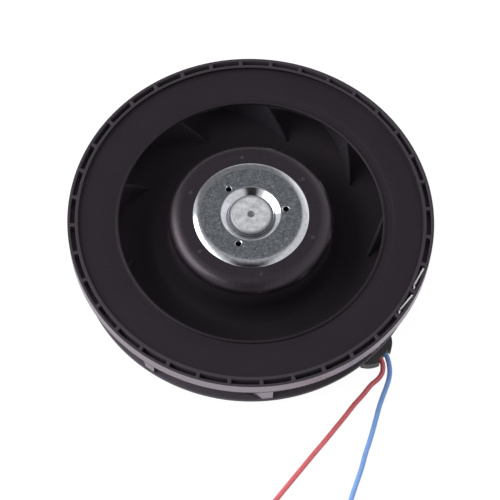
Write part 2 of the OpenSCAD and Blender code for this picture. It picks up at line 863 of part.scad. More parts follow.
// The sensor stands on the board's upper side, under the magnet ring's edge
module hall_sensor() {
    color(CHIP) rotate(outlet_angle + hall_angle)
        translate([board_r - hall_inset - hall_size.x, -hall_size.y / 2, board_top_z]) cube(hall_size);
}

module driver_chips() {
    color(CHIP) for (angle = chip_angles) under_board(angle, chip_size);
}

module capacitor() {
    color("#b8863b") under_board(capacitor_angle, capacitor_size);
}

module diode() {
    color(CHIP) under_board(diode_angle, diode_size);
}

module chip_resistors() {
    color(CHIP) for (i = [0:resistor_count - 1])
        under_board(resistor_angle + i * resistor_step, resistor_size);
}

// The mounting flange

module mounting_flange() {
    color("#a9abac") difference() {
        union() {
            cylinder(r = flange_r, h = flange_t);
            cylinder(r = socket_r, h = insulator_low_z);
            ring(cup_r, cup_out_r, 0, cup_top_z);
            around(screw_count, screw_angle) {
                translate([screw_pcd / 2, 0, 0]) cylinder(d = screw_boss_d, h = screw_boss_z);
                translate([cup_r + cup_wall / 2, -rib_w / 2, 0])
                    cube([screw_pcd / 2 - cup_r - cup_wall / 2, rib_w, (flange_t + screw_boss_z) / 2]);
            }
        }
        translate([0, 0, floor_t]) cylinder(r = tube_r, h = insulator_low_z);
        around(screw_count, screw_angle) translate([screw_pcd / 2, 0, -over])
            cylinder(d = screw_hole_d, h = screw_boss_z + 2 * over);
        rotate(outlet_angle) {
            translate([key_r, -arm_w / 2 - slip_clear, -over])
                cube([flange_d, arm_w + 2 * slip_clear, cup_top_z]);
            translate([key_r, -key_w / 2 - slip_clear, -over])
                cube([key_l + 2 * slip_clear, key_w + 2 * slip_clear, cup_top_z]);
            translate([cup_r - over, -lead_gate_w / 2, flange_t])
                cube([cup_wall + 2 * over, lead_gate_w, cup_top_z]);
        }
    }
}

// The lead guide

// Place of a lead across the guide
function lead_v(side) = lead_shift + side * lead_pitch / 2;

module lug_outline() {
    intersection() {
        stadium(lug_span, lug_r);
        translate([lug_r - lug_front_r, 0]) circle(lug_front_r);
    }
}

module lead_guide() {
    color(GREY) rotate(outlet_angle) difference() {
        union() {
            translate([key_r + slip_clear, -arm_w / 2, 0]) cube([lug_c - key_r - slip_clear, arm_w, arm_h]);
            translate([key_r + slip_clear, -key_w / 2, 0]) cube([key_l, key_w, flange_t]);
            translate([lug_c, 0, 0]) linear_extrude(lug_h) lug_outline();
        }
        translate([key_r - over, -groove_w / 2, groove_floor])
            cube([cover_end - key_r + over, groove_w, lug_h]);
        translate([lug_reach - notch_d, lead_shift - notch_w / 2, -over])
            cube([notch_d + over, notch_w, lug_h + 2 * over]);
        for (side = [-1, 1]) translate([cover_end - over, lead_v(side), lead_z]) rotate([0, 90, 0])
            cylinder(d = lead_d + 2 * slip_clear, h = lug_w + 2 * over);
    }
}

module lead_guide_cover() {
    start = flange_r + slip_clear;
    color(GREY) rotate(outlet_angle) translate([start, -arm_w / 2, arm_h])
        cube([cover_end - slip_clear - start, arm_w, cover_t]);
}

// The leads

function held(side) = [for (p = held_route)
    [p[0] * cos(outlet_angle) - lead_v(side) * sin(outlet_angle),
        p[0] * sin(outlet_angle) + lead_v(side) * cos(outlet_angle), p[1]]];

module red_lead_tail() {
    color(RED) cord(held(-1), lead_r);
}

module blue_lead_tail() {
    color(BLUE) cord(held(1), lead_r);
}

module red_lead() {
    color(RED) cord(red_route, lead_r);
}

module blue_lead() {
    color(BLUE) cord(blue_route, lead_r);
}

// Half of a coil's outer shape, grown by a margin for what is wrapped round it
module coil_section(grow) {
    half = coil_half + grow;
    z0 = tie_t - grow;
    z1 = tie_t + 2 * coil_row + grow / 2;
    z2 = coil_end_z + lead_r + grow;
    top = coil_top_r + grow / 2;
    polygon([[coil_r - half, z0], [coil_r + half, z0], [coil_r + half, z1], [coil_r + top, z2],
        [coil_r - top, z2], [coil_r - half, z1]]);
}

module coil(centre) {
    translate(centre) rotate_extrude() coil_section(0);
}

module tie(centre) {
    translate(centre) rotate(tie_angle - tie_arc / 2) rotate_extrude(angle = tie_arc) difference() {
        coil_section(tie_t);
        coil_section(0);
    }
}

module tip(centre, angle) {
    translate(centre) rotate(angle) translate([coil_r, 0, coil_end_z]) rotate([-90, 0, 0])
        cylinder(d = tip_d, h = tip_l);
}

module red_coil() {
    color(RED) coil(red_coil_c);
}

module blue_coil() {
    color(BLUE) coil(blue_coil_c);
}

module red_tie() {
    color("#2a2a2c") tie(red_coil_c);
}

module blue_tie() {
    color("#2a2a2c") tie(blue_coil_c);
}

module red_tip() {
    color("#c6c8ca") tip(red_coil_c, red_tip_angle);
}

module blue_tip() {
    color("#c6c8ca") tip(blue_coil_c, blue_tip_angle);
}

impeller();
shroud_ring();
rotor_pot();
shaft_boss();
shaft();
magnet_ring();
balance_clips();
upper_bearing_inner();
lower_bearing_inner();
preload_washer();
shim_washer();
retaining_ring();
upper_bearing_balls();
upper_bearing_cage();
lower_bearing_balls();
lower_bearing_cage();
upper_bearing_outer();
lower_bearing_outer();
bearing_tube();
stator_stack();
insulator_upper();
insulator_lower();
windings();
circuit_board();
hall_sensor();
driver_chips();
capacitor();
diode();
chip_resistors();
mounting_flange();
lead_guide();
lead_guide_cover();
red_lead_tail();
blue_lead_tail();
red_lead();
blue_lead();
red_coil();
blue_coil();
red_tie();
blue_tie();
red_tip();
blue_tip();
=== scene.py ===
import json
import math
from functools import partial

import bmesh
import bpy
from bpy.props import FloatProperty, FloatVectorProperty, IntProperty, PointerProperty
from bpy.types import Operator, Panel, PropertyGroup
from mathutils import Matrix, Vector


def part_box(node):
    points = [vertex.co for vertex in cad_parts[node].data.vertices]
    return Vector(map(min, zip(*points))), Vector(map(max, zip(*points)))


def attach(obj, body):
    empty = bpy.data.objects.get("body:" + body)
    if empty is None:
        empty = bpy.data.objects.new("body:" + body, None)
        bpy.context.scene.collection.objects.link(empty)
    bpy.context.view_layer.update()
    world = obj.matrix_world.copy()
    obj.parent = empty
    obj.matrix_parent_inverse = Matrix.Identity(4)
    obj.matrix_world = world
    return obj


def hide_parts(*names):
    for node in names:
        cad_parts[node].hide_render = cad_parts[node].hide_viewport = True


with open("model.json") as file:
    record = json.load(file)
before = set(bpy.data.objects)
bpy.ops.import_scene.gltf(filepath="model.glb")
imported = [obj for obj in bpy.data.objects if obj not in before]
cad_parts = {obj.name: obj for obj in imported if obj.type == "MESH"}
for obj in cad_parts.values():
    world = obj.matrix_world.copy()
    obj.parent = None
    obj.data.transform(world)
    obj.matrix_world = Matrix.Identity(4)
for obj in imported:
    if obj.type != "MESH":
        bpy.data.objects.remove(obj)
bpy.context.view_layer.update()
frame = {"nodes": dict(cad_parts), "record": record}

bl_info = {
    "name": "Centrifugal fan",
    "version": (1, 0, 0),
    "blender": (4, 5, 0),
    "location": "View3D > Sidebar > Fan",
    "description": "Builds a motorised centrifugal fan on its CAD frame",
    "category": "Object",
}

MM = 0.001
SLACK = 0.1 * MM  # allowed where faces are chosen by their place
NOISE_RANGE = 0.3, 0.7  # where most of a noise pattern's values lie
WAVE_RADIANS = 20  # how far a wave pattern turns in a unit of length
NESTED = 0.87  # rise of a turn in the groove between two others, in diameters

# Routes of the two leads in millimetres, from inside the outlet lug to where each coil starts
RED_ROUTE = [
    (37.12, -31.99, 1.65), (38.27, -32.96, 1.65), (38.75, -33.95, 1.6), (38.95, -35.1, 1.5),
    (38.93, -36.25, 1.3), (38.6, -37.4, 1.1), (37.7, -38.75, 0.9), (35.85, -40.5, 0.8),
    (33.45, -43.7, 0.75), (30.8, -47, 0.75), (28.5, -50.3, 0.75), (26, -53.7, 0.75),
    (23.05, -57.7, 0.75), (20, -61.7, 0.75), (16.5, -66.4, 0.75), (13, -71.1, 0.75),
    (9.6, -75.7, 0.75), (6.4, -80, 0.9), (3.1, -84.5, 1.13),
]
BLUE_ROUTE = [
    (38.47, -30.39, 1.65), (39.62, -31.35, 1.65), (40.1, -32.2, 1.65), (40.5, -33.4, 1.55),
    (40.8, -34.9, 1.4), (40.95, -36.6, 1.15), (40.7, -38.7, 0.95), (40.1, -40.9, 0.8),
    (39.12, -43.7, 0.75), (38.02, -47.2, 0.75), (37.12, -50.8, 0.75), (36.2, -54.5, 0.75),
    (35.3, -57.8, 0.75), (34.3, -61.1, 0.75), (33.15, -65.7, 0.75), (31.7, -70.3, 0.75),
    (30.3, -74.9, 0.75), (29, -79.5, 0.85), (26.8, -86.9, 1.13),
]

# The darker and the paler tone of each visible plastic
PLASTIC_TONES = {
    "shroud": ("#161217", "#1a161b"),
    "hub": ("#181419", "#1c181d"),
    "floor": ("#191619", "#1d1a1d"),
    # the blades are paler than the floor: painted fill light in the shade under the shroud
    "blade": ("#302d33", "#343137"),
    "rim": ("#1d1a1e", "#232025"),
    "guide": ("#424244", "#4e4e50"),
    "red": ("#da666e", "#e6727a"),
    "blue": ("#7ba5e2", "#86b0ee"),
}


# Settings


def length(description, millimetres):
    """A length that is given in millimetres and kept in metres"""
    return partial(FloatProperty, description=description, default=millimetres * MM, precision=5,
                   unit="LENGTH", subtype="DISTANCE")


def angle(description, degrees):
    """An angle that is given in degrees and kept in radians"""
    return partial(FloatProperty, description=description, default=math.radians(degrees), unit="ROTATION",
                   subtype="ANGLE")


def count(description, number):
    return partial(IntProperty, description=description, default=number, min=1)


def factor(description, value):
    return partial(FloatProperty, description=description, default=value)


def linear(code):
    """An sRGB hex colour as linear red, green, blue and alpha"""
    parts = [int(code[i:i + 2], 16) / 255 for i in (1, 3, 5)]
    return tuple(c / 12.92 if c <= 0.04045 else ((c + 0.055) / 1.055) ** 2.4 for c in parts) + (1.0,)


def swatch(description, code):
    """A colour that is given as a hex code and kept as linear light"""
    return partial(FloatVectorProperty, description=description, default=linear(code), size=4, min=0.0,
                   max=1.0, subtype="COLOR")


def named(group):
    """Makes the settings of a group, each named after its attribute in plain words"""
    for key, setting in group.__annotations__.items():
        group.__annotations__[key] = setting(name=key.replace("_", " ").capitalize())
    return group


@named
class ColourSettings(PropertyGroup):
    """The darker and the paler tone of each visible plastic"""

    __annotations__ = {
        f"{place}_{tone}": swatch(f"The {tone} tone of the {place} plastic", code)
        for place, codes in PLASTIC_TONES.items()
        for tone, code in zip(("dark", "pale"), codes)
    }


@named
class ShroudSettings(PropertyGroup):
    """Sizes of the shroud ring that the frame's box doesn't give"""

    outer_wall: length("Wall outside the balancing pockets", 0.75)
    pocket_width: length("Radial width of a balancing pocket", 1.4)
    inner_wall: length("Wall inside the balancing pockets", 0.85)
    pocket_floor: length("Floor under the balancing pockets", 0.9)
    pocket_count: count("Number of balancing pockets", 36)
    web: length("Web between two pockets", 0.9)
    web_angle: angle("Direction of one web", 5.1)
    face_drop: length("From the rim's top down to the shroud's face", 1.1)
    face_fall: length("Further fall of the face towards the inlet", 0.5)
    thickness: length("Thickness of the shroud beside the inlet", 1.2)
    inlet_radius: length("Radius of the inlet", 37.3)
    bead_radius: length("Radius of the bead round the inlet", 0.5)
    bead_proud: length("How far the bead stands over the face", 0.45)
    trough: length("Depth of the trough beside the bead", 0.2)
    edge: length("Rounding of the moulded edges", 0.12)
    dull_foot: length("Height of the rim's dull strip under its polished wall", 0.5)


@named
class ImpellerSettings(PropertyGroup):
    """Sizes of the hub, the back disc and the blades"""

    disc: length("Thickness of the back disc", 1.3)
    disc_edge: length("Rounding of the back disc's edge", 0.25)
    hub_radius: length("Radius of the hub", 23.5)
    lip: length("Thickness of the hub's face over the rotor", 2.0)
    bore_edge: length("Rounding of the hub's edge round the rotor's face", 0.1)
    crown_radius: length("Radius at which the hub's face begins to slope", 19.8)
    crown_round: length("Rounding where the hub's face begins to slope", 6)
    shoulder: length("Rounding of the hub's shoulder", 3.4)
    shoulder_drop: length("How far the shoulder lies under the hub's face", 0.7)
    fillet: length("Fillet between the hub and the back disc", 5.0)
    blade_count: count("Number of blades", 9)
    blade: length("Thickness of a blade", 1.05)
    foot_radius: length("Radius of the blades' leading edges at the back disc", 33.6)
    head_radius: length("Radius of the blades' leading edges at the shroud", 37.5)
    tip_inset: length("How far the tips stay inside the back disc's edge", 0.2)
    tip_angle: angle("Direction of one blade's tip", -2.6)
    angle_out: angle("Blade angle at the tip, from the tangent", 21)
    angle_in: angle("Blade angle at the leading edge's foot, from the tangent", 28)
    sunk: length("How far a blade reaches into the back disc", 0.1)
    polish: length("Width of the blades' polished ends", 2.4)
    # outside this radius the back disc is painted paler: painted fill light under the rim
    painted_edge_radius: length("Radius outside which dust greys the back disc", 44)
    gate_count: count("Number of gate marks on the hub's face", 6)
    gate_circle: length("Radius of the circle of gate marks", 18.6)
    gate: length("Diameter of a gate mark", 1.2)
    gate_depth: length("Depth of a gate mark", 0.15)
    gate_angle: angle("Direction of one gate mark", 40)
    edge: length("Rounding of the hub's other edges", 0.04)
    blade_edge: length("Rounding of the blades' edges", 0.1)
    satin: length("How far the hub is satin from its face down", 3)


@named
class RotorSettings(PropertyGroup):
    """Sizes of the rotor's sheet and of the boss in its dish"""

    sheet: length("Thickness of the rotor's face", 1.0)
    wall: length("Wall of the rotor pot", 1.2)
    face_radius: length("Radius of the rotor's bare face", 16.45)
    edge_width: length("Radial width of the face's sloping edge", 1.55)
    edge_height: length("Height of the face's sloping edge", 0.65)
    edge_crease: length("Rounding between the face and its sloping edge", 5.5)
    edge_corner: length("Rounding at the foot of the sloping edge", 0.3)
    dish_radius: length("Radius of the dish at the face", 8.4)
    dish_foot: length("Radius of the dish's floor", 6.45)
    dish_depth: length("Depth of the dish", 1.3)
    dish_edge: length("Rounding of the dish's upper edge", 0.9)
    dish_fillet: length("Fillet at the dish's floor", 0.6)
    hole_count: count("Number of small holes in the face", 3)
    hole: length("Diameter of a small hole", 1.5)
    hole_circle: length("Radius of the circle of holes", 10)
    hole_angle: angle("Direction of one hole", 11)
    countersink: length("Width and depth of a hole's countersink", 0.25)
    neck: length("Radius of the boss's neck in the sheet", 4)
    collar: length("Radius of the boss's collar under the sheet", 5.2)
    collar_height: length("Height of the boss's collar", 0.9)
    stem_wall: length("Wall of the boss's stem round the shaft", 1.1)
    boss_edge: length("Rounding of the boss's edge", 0.7)
    dimple: length("Diameter of the boss's centre dimple", 2.0)
    dimple_depth: length("Depth of the boss's centre dimple", 0.45)
    dimple_edge: length("Rounding of the dimple's edge", 0.15)
    burnish: length("Radial width of the face's burnished edge", 2.17)
    burnish_foot: length("How far the dish's burnished wall reaches over its floor", 0.4)
    burnish_lip: length("How far the dish's burnished wall reaches over the face", 0.2)


@named
class ClipSettings(PropertyGroup):
    """Sizes of the balancing clips in two of the pockets"""

    strip: length("Thickness of a clip's strip", 0.5)
    length: length("Length of a clip", 7.0)
    end: length("Length of a clip's bent end", 1.1)
    turn: angle("Direction of the bent end from the tangent", 24)
    notch: length("Width of the notch at the bend", 0.35)
    notch_depth: length("Depth of the notch at the bend", 0.5)
    slack: length("Gap between a clip and the pocket's walls", 0.03)
    edge: length("Rounding of a clip's edges", 0.075)
    first: angle("Direction of the first clip", -19.9)
    pitch: angle("Angle from one clip to the next", -10)
    number: count("Number of clips", 2)


@named
class GuideSettings(PropertyGroup):
    """Where the lead guide's lug lies, and its curved front"""

    outlet: angle("Direction of the lead guide", -40)
    reach: length("Reach of the lug from the axis", 51.7)
    front: length("Radius of the lug's curved front", 7)
    aside: length("How far the front's middle lies anticlockwise of the guide's", 0.4)
    cleared: length("How far outside its curved front the lug is cut away", 9)
    edge: length("Rounding of the lead guide's edges", 0.3)
    thin_edge: length("Rounding of the edges of the flange and of the guide's cover", 0.2)


@named
class LeadSettings(PropertyGroup):
    """Sizes of the two leads, which end in a coil each"""

    diameter: length("Diameter over the insulation", 1.45)
    total: length("Length of a lead from the outlet", 310)
    coil_radius: length("Radius at the middle of the turns", 8)
    tie: length("Thickness of a coil's tie", 0.4)
    change: angle("Angle in which a lead changes from one turn to the next", 30)
    step: angle("Angle from one point of a turn to the next", 18)


@named
class StageSettings(PropertyGroup):
    """Where the photograph was taken from, and its lamps"""

    distance: length("From the camera to the middle of the rim's top", 569.25)
    elevation: angle("Height of the camera over the horizon", 63.336)
    roll: angle("How far the picture is turned clockwise", 1.968)
    lens: factor("Focal length in millimetres", 145.28)
    shift_x: factor("Where the target lies right of the picture's middle, in pixels", 0.95)
    shift_y: factor("Where the target lies under the picture's middle, in pixels", -33.6)
    picture: count("Width of the picture in pixels", 500)
    left_power: factor("Power of the left softbox in watts", 5.2)
    right_power: factor("Power of the right softbox in watts", 0.7)
    lamp_distance: length("From the middle of the fan's foot to a softbox", 800)
    ambient: factor("Strength of the room's light, except from the camera's side", 0.64)
    front_light: factor("Strength of the room's light from the camera's side", 0.45)
    room_slant: factor("How far the dark room widens to the left behind the fan", 0.5)
    overhead: factor("Brightness of the dark room overhead", 0.55)
    darkest: factor("Brightness of the dark room on the camera's side", 0.03)
    low_right: factor("Brightness of the room low on the right", 0.4)
    ceiling: factor("Brightness of the dark room behind the fan", 0.27)
    front_wall: factor("Share of the dark room that is left low in front of the fan", 0.75)
    glow: factor("Brightness that the table adds where it is seen", 0.95)
    table: length("Half of the table's width", 3000)
    paint: factor("Tone of the table in the light that it throws back", 0.9)
    shadow: factor("Tone of the table where it is seen, which lets the fan's shadow show", 0.12)


# Mesh helpers


def arc(centre, radius, start, end, steps):
    """Points of an arc in the radius and height plane, from one angle in degrees to another"""
    angles = [math.radians(start + (end - start) * i / steps) for i in range(steps + 1)]
    return [(centre[0] + radius * math.cos(a), centre[1] + radius * math.sin(a)) for a in angles]


def rounded(corners, steps=8):
    """A closed outline of radius and height points, each corner with its own rounding"""
    outline = []
    for i, (r, z, rounding) in enumerate(corners):
        here = Vector((r, z))
        before = (Vector(corners[i - 1][:2]) - here).normalized()
        after = (Vector(corners[(i + 1) % len(corners)][:2]) - here).normalized()
        if not rounding:
            outline.append((r, z))
            continue
        half = before.angle(after) / 2
        centre = here + (before + after).normalized() * rounding / math.sin(half)
        first = here + before * rounding / math.tan(half) - centre
        last = here + after * rounding / math.tan(half) - centre
        ways = [first.slerp(last, k / steps).normalized() for k in range(steps + 1)]
        outline += [tuple(centre + way * rounding) for way in ways]
    return outline


def smooth(t):
    """A share from 0 to 1 that begins and ends gently"""
    t = min(max(t, 0.0), 1.0)
    return t * t * (3 - 2 * t)


def turned(r, z, a):
    """The point at a radius, a height and an angle about Z"""
    return (r * math.cos(a), r * math.sin(a), z)


def clean(bm):
    """Merges doubled points and turns all faces outwards"""
    bmesh.ops.remove_doubles(bm, verts=bm.verts, dist=1e-6)
    bmesh.ops.recalc_face_normals(bm, faces=bm.faces)
    return bm


def revolve(profile, steps=240, start=0.0, sweep=2 * math.pi):
    """A closed profile of radius and height points, revolved about Z"""
    bm = bmesh.new()
    whole = sweep > 2 * math.pi - 1e-6
    columns = steps if whole else steps + 1
    angles = [start + sweep * i / steps for i in range(columns)]
    rows = [[bm.verts.new(turned(r, z, a)) for r, z in profile] for a in angles]
    for i in range(steps):
        here, there = rows[i], rows[(i + 1) % columns]
        for k in range(len(profile)):
            j = (k + 1) % len(profile)
            bm.faces.new((here[k], there[k], there[j], here[j]))
    if not whole:
        bm.faces.new(rows[0])
        bm.faces.new(reversed(rows[-1]))
    return clean(bm)


def cad_copy(node):
    """A merged copy of a CAD node's mesh, its flat faces made whole"""
    bm = bmesh.new()
    bm.from_mesh(frame["nodes"][node].data)
    clean(bm)
    bmesh.ops.dissolve_limit(bm, angle_limit=math.radians(0.5), verts=bm.verts, edges=bm.edges)
    return clean(bm)


def placed(name, data):
    """A new object of some data, in the scene"""
    thing = bpy.data.objects.new(name, data)
    bpy.context.scene.collection.objects.link(thing)
    return thing


def new_object(name, bm, material):
    """A mesh object in the scene, with one material or None"""
    mesh = bpy.data.meshes.new(name)
    bm.to_mesh(mesh)
    bm.free()
    mesh.materials.append(material)
    return placed(name, mesh)


def bake(piece):
    """Makes what a piece's modifiers give its plain mesh, and removes them"""
    graph = bpy.context.evaluated_depsgraph_get()
    mesh = bpy.data.meshes.new_from_object(piece.evaluated_get(graph))
    mesh.name = piece.name
    piece.modifiers.clear()
    piece.data = mesh
    bm = bmesh.new()
    bm.from_mesh(mesh)
    clean(bm).to_mesh(mesh)
    bm.free()


def round_edges(piece, width, segments=3, limit=35):
    """Smooth shading, flat where faces are flat; edges that turn by more than limit degrees are rounded"""
    piece.data.shade_smooth()
    if width:
        bevel = piece.modifiers.new("Edges", "BEVEL")
        bevel.width = width
        bevel.segments = segments
        bevel.limit_method = "ANGLE"
        bevel.angle_limit = math.radians(limit)
        bevel.use_clamp_overlap = True
    normals = piece.modifiers.new("Flat faces", "WEIGHTED_NORMAL")
    normals.keep_sharp = False
    normals.weight = 80


def settle(piece, body, slot, *nodes):
    """Puts a finished piece on its body, in place of its CAD nodes"""
    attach(piece, body)
    if nodes:
        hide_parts(*nodes)


def feed(tree, socket, value):
    """Gives a node's input a value or a link"""
    if isinstance(value, bpy.types.NodeSocket):
        tree.links.new(value, socket)
    else:
        socket.default_value = value


def add_node(tree, kind, inputs=None, **settings):
    """Adds a node, with its settings, and each input as a value or a link"""
    node = tree.nodes.new(kind)
    for key, value in settings.items():
        setattr(node, key, value)
    for key, value in (inputs or {}).items():
        feed(tree, node.inputs[key], value)
    return node


def maths(tree, operation, *values):
    """What a maths node makes of its values"""
    return add_node(tree, "ShaderNodeMath", dict(enumerate(values)), operation=operation).outputs[0]


def ramp(tree, value, low, high, first=0.0, last=1.0, kind="LINEAR"):
    """A value's stretch from low to high, spread over another range"""
    return add_node(tree, "ShaderNodeMapRange", {
        "Value": value, "From Min": low, "From Max": high, "To Min": first, "To Max": last,
    }, interpolation_type=kind).outputs[0]


def ring_tree():
    """Geometry nodes that set copies of a piece round the Z axis and join them"""
    tree = bpy.data.node_groups.get("Copies round the axis")
    if tree:
        return tree
    tree = bpy.data.node_groups.new("Copies round the axis", "GeometryNodeTree")
    for name, kind in (
        ("Geometry", "NodeSocketGeometry"), ("Number", "NodeSocketInt"), ("Start", "NodeSocketFloat"),
        ("Pitch", "NodeSocketFloat"), ("Material", "NodeSocketMaterial"),
    ):
        tree.interface.new_socket(name, in_out="INPUT", socket_type=kind)
    tree.interface.new_socket("Geometry", in_out="OUTPUT", socket_type="NodeSocketGeometry")
    given = add_node(tree, "NodeGroupInput").outputs
    points = add_node(tree, "GeometryNodePoints", {"Count": given["Number"]})
    index = add_node(tree, "GeometryNodeInputIndex")
    turn = maths(tree, "MULTIPLY_ADD", index.outputs[0], given["Pitch"], given["Start"])
    euler = add_node(tree, "ShaderNodeCombineXYZ", {"Z": turn})
    copies = add_node(tree, "GeometryNodeInstanceOnPoints", {
        "Points": points.outputs[0], "Instance": given["Geometry"], "Rotation": euler.outputs[0]})
    real = add_node(tree, "GeometryNodeRealizeInstances", {"Geometry": copies.outputs[0]})
    finish = add_node(tree, "GeometryNodeSetMaterial", {
        "Geometry": real.outputs[0], "Material": given["Material"]})
    add_node(tree, "NodeGroupOutput", {"Geometry": finish.outputs[0]})
    return tree


def copies_round(piece, number, start, pitch=None):
    """Replaces a piece by copies round the Z axis, evenly spread if no pitch is given, as one mesh"""
    modifier = piece.modifiers.new("Copies", "NODES")
    modifier.node_group = ring_tree()
    pitch = pitch or 2 * math.pi / number
    values = {"Number": number, "Start": start, "Pitch": pitch, "Material": piece.data.materials[0]}
    for socket in modifier.node_group.interface.items_tree:
        if socket.name in values:
            modifier[socket.identifier] = values[socket.name]
    bake(piece)


def cut(piece, cutter):
    """Takes a cutter's shape out of a piece"""
    boolean = piece.modifiers.new("Cut", "BOOLEAN")
    boolean.object = cutter
    boolean.operation = "DIFFERENCE"
    boolean.solver = "EXACT"
    bake(piece)
    bpy.data.objects.remove(cutter)


# Material helpers


class Surface:
    """A material under construction: its node tree, its shader and the patterns that drive it"""

    def __init__(self, name):
        self.material = bpy.data.materials.new(name)
        self.material.use_nodes = True
        self.tree = self.material.node_tree
        self.shader = self.tree.nodes["Principled BSDF"]
        self.coords = add_node(self.tree, "ShaderNodeTexCoord").outputs["Object"]

    def set(self, **values):
        """Gives the shader's sockets values or links"""
        for key, value in values.items():
            feed(self.tree, self.shader.inputs[key.replace("_", " ")], value)
        return self

    def noise(self, size, detail=2.0, roughness=0.5, vector=None):
        """Cloudy pattern with features of a real size"""
        return add_node(self.tree, "ShaderNodeTexNoise", {
            "Vector": vector or self.coords, "Scale": 1 / size, "Detail": detail, "Roughness": roughness,
        }).outputs["Fac"]

    def cells(self, size, feature="F1", output="Color"):
        """Crystal-like cells of a real size"""
        return add_node(self.tree, "ShaderNodeTexVoronoi", {"Vector": self.coords, "Scale": 1 / size},
                        feature=feature).outputs[output]

    def bands(self, size, direction, distortion=0.0):
        """Even bands of about a real size"""
        return add_node(self.tree, "ShaderNodeTexWave", {
            "Vector": self.coords, "Scale": 2 * math.pi / (WAVE_RADIANS * size), "Distortion": distortion,
        }, bands_direction=direction).outputs["Fac"]

    def stretch(self, x, y, z):
        """Coordinates scaled along each axis"""
        return add_node(self.tree, "ShaderNodeVectorMath", {0: self.coords, 1: (x, y, z)},
                        operation="MULTIPLY").outputs[0]

    def level(self, value, low, high, to_low=0.0, to_high=1.0):
        """A pattern's stretch from low to high, spread over another range"""
        return ramp(self.tree, value, low, high, to_low, to_high)

    def spread(self, noise, low=0.0, high=1.0):
        """A noise pattern's usual range, spread over another"""
        return self.level(noise, *NOISE_RANGE, low, high)

    def combine(self, operation, a, b):
        return maths(self.tree, operation, a, b)

    def blend(self, share, first, second):
        """Two colours, as hex codes, linear values or sockets, mixed by a pattern"""
        first, second = (linear(c) if isinstance(c, str) else c for c in (first, second))
        node = add_node(self.tree, "ShaderNodeMix", {0: share, 6: first, 7: second}, data_type="RGBA")
        return node.outputs[2]

    def bump(self, height, distance, strength=1.0):
        """Relief of a real height"""
        node = add_node(self.tree, "ShaderNodeBump", {
            "Height": height, "Distance": distance, "Strength": strength})
        return self.set(Normal=node.outputs[0])

    def radius(self):
        """Distance from the fan's axis"""
        flat = self.stretch(1, 1, 0)
        return add_node(self.tree, "ShaderNodeVectorMath", {0: flat}, operation="LENGTH").outputs["Value"]

    def height(self):
        return add_node(self.tree, "ShaderNodeSeparateXYZ", {0: self.coords}).outputs["Z"]


# Materials


def tones(place):
    """The darker and the paler colour of a visible plastic"""
    colours = bpy.context.scene.fan_colours
    return [tuple(getattr(colours, f"{place}_{tone}")) for tone in ("dark", "pale")]


def black_plastic(name, dark, pale, rough, specular, shine=0.0, film=None):
    """Charcoal with a faint purple cast: the mould's grain breaks the light up, flow marks cloud it"""
    s = Surface(name)
    grain = s.noise(0.45 * MM, 3)  # the real grain of 0.05 mm is too fine to show, so it is drawn coarser
    flow = s.noise(16 * MM, 2)
    colour = s.blend(s.spread(flow), dark, pale)
    # a film paints one tone over part of the surface: it carries painted highlight and painted fill light
    if film:
        tone, share = film
        colour = s.blend(share(s), colour, tone)
    s.set(Base_Color=colour, Roughness=s.spread(grain, rough, rough + 0.14), Specular_IOR_Level=specular,
          Specular_Tint=linear("#ffeeff"))
    if shine:
        s.set(IOR=shine)
    return s.bump(grain, 0.02 * MM, 0.1 if shine else 0.5).material


def matt_plastic(crown):
    """The shroud's face: dull from a spark-eroded mould; the tops of the rim and webs are painted paler as a
    painted highlight along its upper edges
    """
    # painted highlight: the tops of the rim and webs are painted paler
    rubbed = crown - 0.1 * MM, crown - 0.05 * MM
    return black_plastic(
        "Glass-filled black plastic, spark-eroded mould", *tones("shroud"), 0.46, 0.3,
        film=("#343036", lambda s: s.level(s.height(), *rubbed)))


def satin_plastic():
    """The hub's face and shoulder: smoother, so that the shoulder draws a soft highlight"""
    return black_plastic("Glass-filled black plastic, satin mould", *tones("hub"), 0.26, 0.54)


def floor_plastic():
    """The back disc and the hub's wall: dull and darkest under the inlet, painted paler up the hub's wall
    and out under the shroud as painted fill light where little light reaches
    """
    painted_fill_height, painted_fill_radius = (10 * MM, 15 * MM), (31 * MM, 37 * MM)

    # painted fill light: paler up the hub's wall and out under the shroud, where little light reaches
    def dust(s):
        return s.combine("MAXIMUM", s.level(s.height(), *painted_fill_height), s.level(s.radius(), *painted_fill_radius))

    return black_plastic(
        "Glass-filled black plastic, dull floor", *tones("floor"), 0.6, 0.15, film=("#2a262b", dust))


def blade_plastic():
    """The blades: dull too, and painted paler than the floor as painted fill light in the shade under the
    shroud, so that they hardly show against it
    """
    return black_plastic("Glass-filled black plastic, dull blades", *tones("blade"), 0.6, 0.15)


def painted_pale_plastic(tone):
    """Pockets, the disc's edge and the gate marks: the black is painted paler; in the pockets and at the
    disc's edge that is painted fill light where little light reaches
    """
    return black_plastic("Black plastic painted paler " + tone, tone, tone, 0.6, 0.2)


def polished_plastic():
    """The rim's outer wall and the blades' tips: a polished mould face that mirrors the white table"""
    name = "Glass-filled black plastic, polished mould"
    return bpy.data.materials.get(name) or black_plastic(name, *tones("rim"), 0.22, 0.5, shine=2.9)


def repaint(piece, material, chosen):
    """Gives the faces of a piece that are chosen by their middle's radius and height another material"""
    piece.data.materials.append(material)
    for face in piece.data.polygons:
        if chosen(face.center.xy.length, face.center.z):
            face.material_index = len(piece.data.materials) - 1


def burnished_zinc():
    """The pot's drawn edges: the die has rubbed the zinc smooth, so that they mirror the room sharply"""
    s = Surface("Zinc-plated steel, burnished by the die")
    rub = s.noise(1.2 * MM, 3)
    s.set(Base_Color=s.blend(s.spread(rub), "#b4b7bd", "#c8c8cf"), Metallic=1.0,
          Roughness=s.spread(rub, 0.1, 0.18))
    return s.bump(rub, 0.004 * MM, 0.3).material


